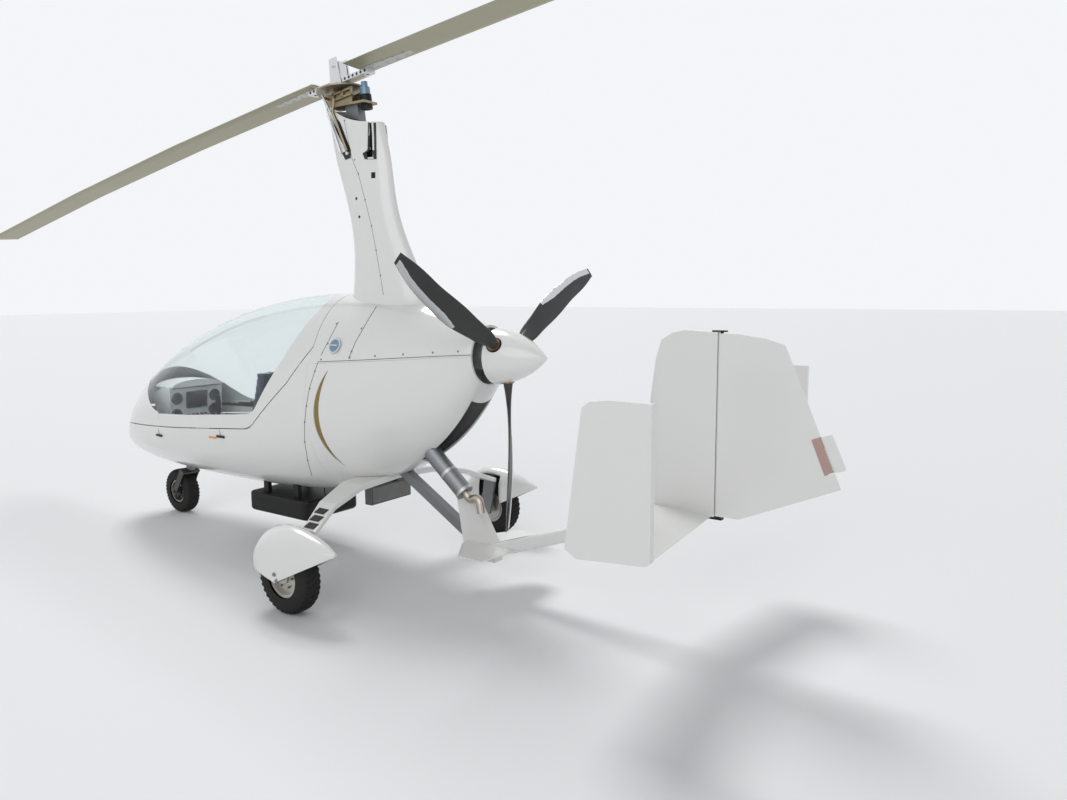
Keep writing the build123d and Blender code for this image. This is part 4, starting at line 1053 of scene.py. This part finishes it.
def wheel_ring(name, hub, inner, outer, thick, material, body):
    """A flat ring turned about a wheel's axle."""
    bm = bmesh.new()
    corners = [bm.verts.new((x, 0, radius)) for x, radius in (
        (-thick / 2, inner), (thick / 2, inner), (thick / 2, outer), (-thick / 2, outer))]
    section = [bm.edges.new(pair) for pair in zip(corners, corners[1:] + corners[:1])]
    bmesh.ops.spin(bm, geom=corners + section, cent=(0, 0, 0), axis=(1, 0, 0), angle=2 * math.pi, steps=64,
                   use_merge=True)
    bmesh.ops.translate(bm, vec=hub, verts=bm.verts[:])
    carried(mesh_object(name, bm, material, crisp_angle), body)


for body, side in (("left_wheel", 1), ("right_wheel", -1)):
    wheel_ring("brake_disc_" + body, (side * 0.7412, 0.375, 0.180), 0.034, 0.082, 0.0036, disc_steel, body)
for side_name, side in zip(side_names, (1, -1)):
    wheel_ring("nose_rim_line_" + side_name, (side * 0.0352, -1.735, 0.150), 0.0690, 0.0735, 0.004, rim_alloy,
               "nose_wheel")
for body, bolt_ring, face_out, sides in (
    ("left_wheel", 0.052, 0.0275, (1,)),
    ("right_wheel", 0.052, 0.0275, (-1,)),
    ("nose_wheel", 0.046, 0.022, (1, -1)),
):
    bolt_places = []
    for side in sides:
        for turn in range(6):
            angle = turn * math.pi / 3
            from_axle = Vector((side * face_out, bolt_ring * math.cos(angle), bolt_ring * math.sin(angle)))
            bolt_places.append((wheel_axles[body] + from_axle, Vector((side, 0, 0))))
    discs(body + "_bolts", bolt_places, 0.006, 0.010, screw_metal, body, 6, 0.003)

# Wheel spats
# Thin laminate shells over the main wheels: rounded above, straight below the shoulder, with a
# lower edge of two straight runs that meet under the axle, and a pointed tail. A window in the
# inner side lets the leg and its knuckle through.
spat_middle_x = 0.783
spat_wall = 0.005
spat_corner = (0.364, 0.164)
spat_front = (0.156, 0.206)
spat_tail = (0.698, 0.326)
# one row for each section: place along the hull, half width, height of the shoulder, height of the top
spat_rows = (
    (0.156, 0.026, 0.224, 0.256),
    (0.172, 0.050, 0.236, 0.298),
    (0.200, 0.068, 0.254, 0.338),
    (0.240, 0.077, 0.272, 0.378),
    (0.300, 0.083, 0.290, 0.411),
    (0.364, 0.086, 0.302, 0.424),
    (0.430, 0.083, 0.308, 0.424),
    (0.500, 0.076, 0.314, 0.412),
    (0.570, 0.062, 0.320, 0.392),
    (0.635, 0.040, 0.326, 0.368),
    (0.698, 0.010, 0.330, 0.340),
)


def spat_edge(y):
    """Height of the spat's lower edge."""
    end = spat_front if y < spat_corner[0] else spat_tail
    share = (y - spat_corner[0]) / (end[0] - spat_corner[0])
    return spat_corner[1] + share * (end[1] - spat_corner[1])


def spat_shell(side):
    """Sections set round the wheel, bridged to a skin and given a wall."""
    bm = bmesh.new()
    loops = []
    for y, half, shoulder, top in spat_rows:
        ring = bmesh.ops.create_circle(bm, segments=32, radius=1.0,
                                       matrix=Matrix.Rotation(math.pi / 2, 4, "X"))
        low = spat_edge(y)
        for vert in ring["verts"]:
            across, rise = vert.co.x, vert.co.z
            if rise >= -0.001:
                vert.co = Vector((half * across, y, shoulder + (top - shoulder) * max(rise, 0)))
            else:
                steep = min(1.0, -rise * 3)
                wide = half * across if steep == 1.0 else half * math.copysign(1, across)
                vert.co = Vector((wide, y, shoulder + (low - shoulder) * steep))
        loops.append(list(dict.fromkeys(edge for vert in ring["verts"] for edge in vert.link_edges)))
    for first, second in zip(loops, loops[1:]):
        bmesh.ops.bridge_loops(bm, edges=first + second)
    bmesh.ops.contextual_create(bm, geom=loops[0])
    bmesh.ops.contextual_create(bm, geom=loops[-1])
    bmesh.ops.recalc_face_normals(bm, faces=bm.faces[:])
    under = [face for face in bm.faces if face.normal.z < -0.5 and all(
        abs(vert.co.z - spat_edge(vert.co.y)) < 0.0005 for vert in face.verts)]
    bmesh.ops.delete(bm, geom=under, context="FACES")
    bmesh.ops.translate(bm, vec=(spat_middle_x, 0, 0), verts=bm.verts[:])
    if side < 0:
        bmesh.ops.mirror(bm, geom=bm.verts[:] + bm.edges[:] + bm.faces[:], axis="X", merge_dist=-1)
        port_half = [vert for vert in bm.verts if vert.co.x > 0]
        bmesh.ops.delete(bm, geom=port_half, context="VERTS")
    shell = mesh_object("spat_shell_" + ("port" if side > 0 else "starboard"), bm, gelcoat, 0.7)
    walled(shell, "laminate", spat_wall, -1)
    gate_bm = bmesh.new()
    bmesh.ops.create_cube(gate_bm, size=1.0, matrix=Matrix.Translation((side * 0.700, 0.398, 0.25)) @
                          Matrix.Diagonal((0.060, 0.150, 0.290, 1)))
    gate = mesh_object("spat_gate", gate_bm, gelcoat)
    cut = shell.modifiers.new("leg_window", "BOOLEAN")
    cut.operation = "DIFFERENCE"
    cut.solver = "EXACT"
    cut.object = gate
    bpy.context.view_layer.update()
    settled(shell)
    bpy.data.objects.remove(gate)
    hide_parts("wheel_spats")
    carried(shell, "airframe")


spat_shell(1)
spat_shell(-1)
spat_bolt = Vector((spat_middle_x + 0.0858, 0.372, 0.208))
discs("spat_bolts", both_sides([(spat_bolt, Vector((1, 0, 0)))]), 0.010, 0.004, screw_metal, "airframe",
      24)

# Nose fork
# Crown and two blades of powder-coated steel, which turn on the steering stem.
fork_black = dusty_material("fork_black", (0.020, 0.020, 0.020), 0.4, 0.2, dust=0.35)
finish(fork_black, "nose_fork")

# Belly aerial
# A short black whip that stands down from the belly, under the cabin floor.
aerial_px = (235.6, 480.5)
aerial_y = laid_on(hull_form, aerial_px)[0].y
aerial_root = hull_form.ray_cast(Vector((0.05, aerial_y, 0.2)), Vector((0, 0, 1)))[0]
bead("belly_aerial", [aerial_root + Vector((0, 0, 0.004)), aerial_root + Vector((0, 0.006, -0.06))], 0.0035,
     black_plastic, "airframe")

# Trim tab
# The bare on-rudder half of the tab is a dull pink-brown, and its white half stands behind the
# rudder's edge. A saw-toothed sealing tape covers the join.
tab_px = ((817.5, 438.2), (832.3, 434.8), (846.1, 469.2), (844.8, 471.3), (831.0, 473.8))
tab_tape_px = ((825.6, 449.0), (834.9, 472.2))
tab_teeth = 9


def on_middle_plane(pixel):
    """Where a pixel lands on the object's plane of symmetry."""
    sight = along_sight(pixel)
    return camera_place - sight * (camera_place.x / sight.x)


tab_bm = bmesh.new()
tab_half = Vector((0.0016, 0, 0))
tab_face = tab_bm.faces.new([tab_bm.verts.new(on_middle_plane(pixel) - tab_half) for pixel in tab_px])
tab_lift = bmesh.ops.extrude_face_region(tab_bm, geom=[tab_face], use_keep_orig=True)
bmesh.ops.translate(tab_bm, vec=2 * tab_half, verts=raised_verts(tab_lift))
tab_plate = mesh_object("trim_tab_plate", tab_bm, gelcoat, 0.5)
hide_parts("trim_tab")
carried(tab_plate, "rudder")
teeth_spots = []
for step in range(tab_teeth):
    share = step / (tab_teeth - 1)
    middle = on_middle_plane([tab_tape_px[0][axis] + share * (tab_tape_px[1][axis] - tab_tape_px[0][axis])
                              for axis in (0, 1)])
    teeth_spots += [(middle + Vector((side * 0.0042, 0, 0)), Vector((side, 0, 0))) for side in (1, -1)]
discs("tab_tape_teeth", teeth_spots, 0.0042, 0.005, gelcoat, "rudder", 4, 0.003)
tab_brown = dusty_material("bare_laminate", (0.46, 0.31, 0.27), 0.55, dust=0.2)
rudder_form = form_of("rudder", "trim_tab")
brown_px = ((811.6, 439.8), (821.0, 437.1), (834.0, 472.0), (825.0, 476.0))
for side_name, side in zip(side_names, (1, -1)):
    brown_bm = bmesh.new()
    corners = []
    for pixel in brown_px:
        on_plane = on_middle_plane(pixel)
        outside = Vector((side * 0.2, on_plane.y - 0.006, on_plane.z))
        skin = rudder_form.ray_cast(outside, Vector((-side, 0, 0)))[0]
        half = abs(skin.x) if skin is not None else 0.003
        corners.append(brown_bm.verts.new(Vector((side * (half + 0.0010), on_plane.y, on_plane.z))))
    brown_bm.faces.new(corners)
    brown_patch = mesh_object("tab_bare_patch_" + side_name, brown_bm, tab_brown)
    walled(brown_patch, "patch_wall", 0.0012)
    carried(brown_patch, "rudder")
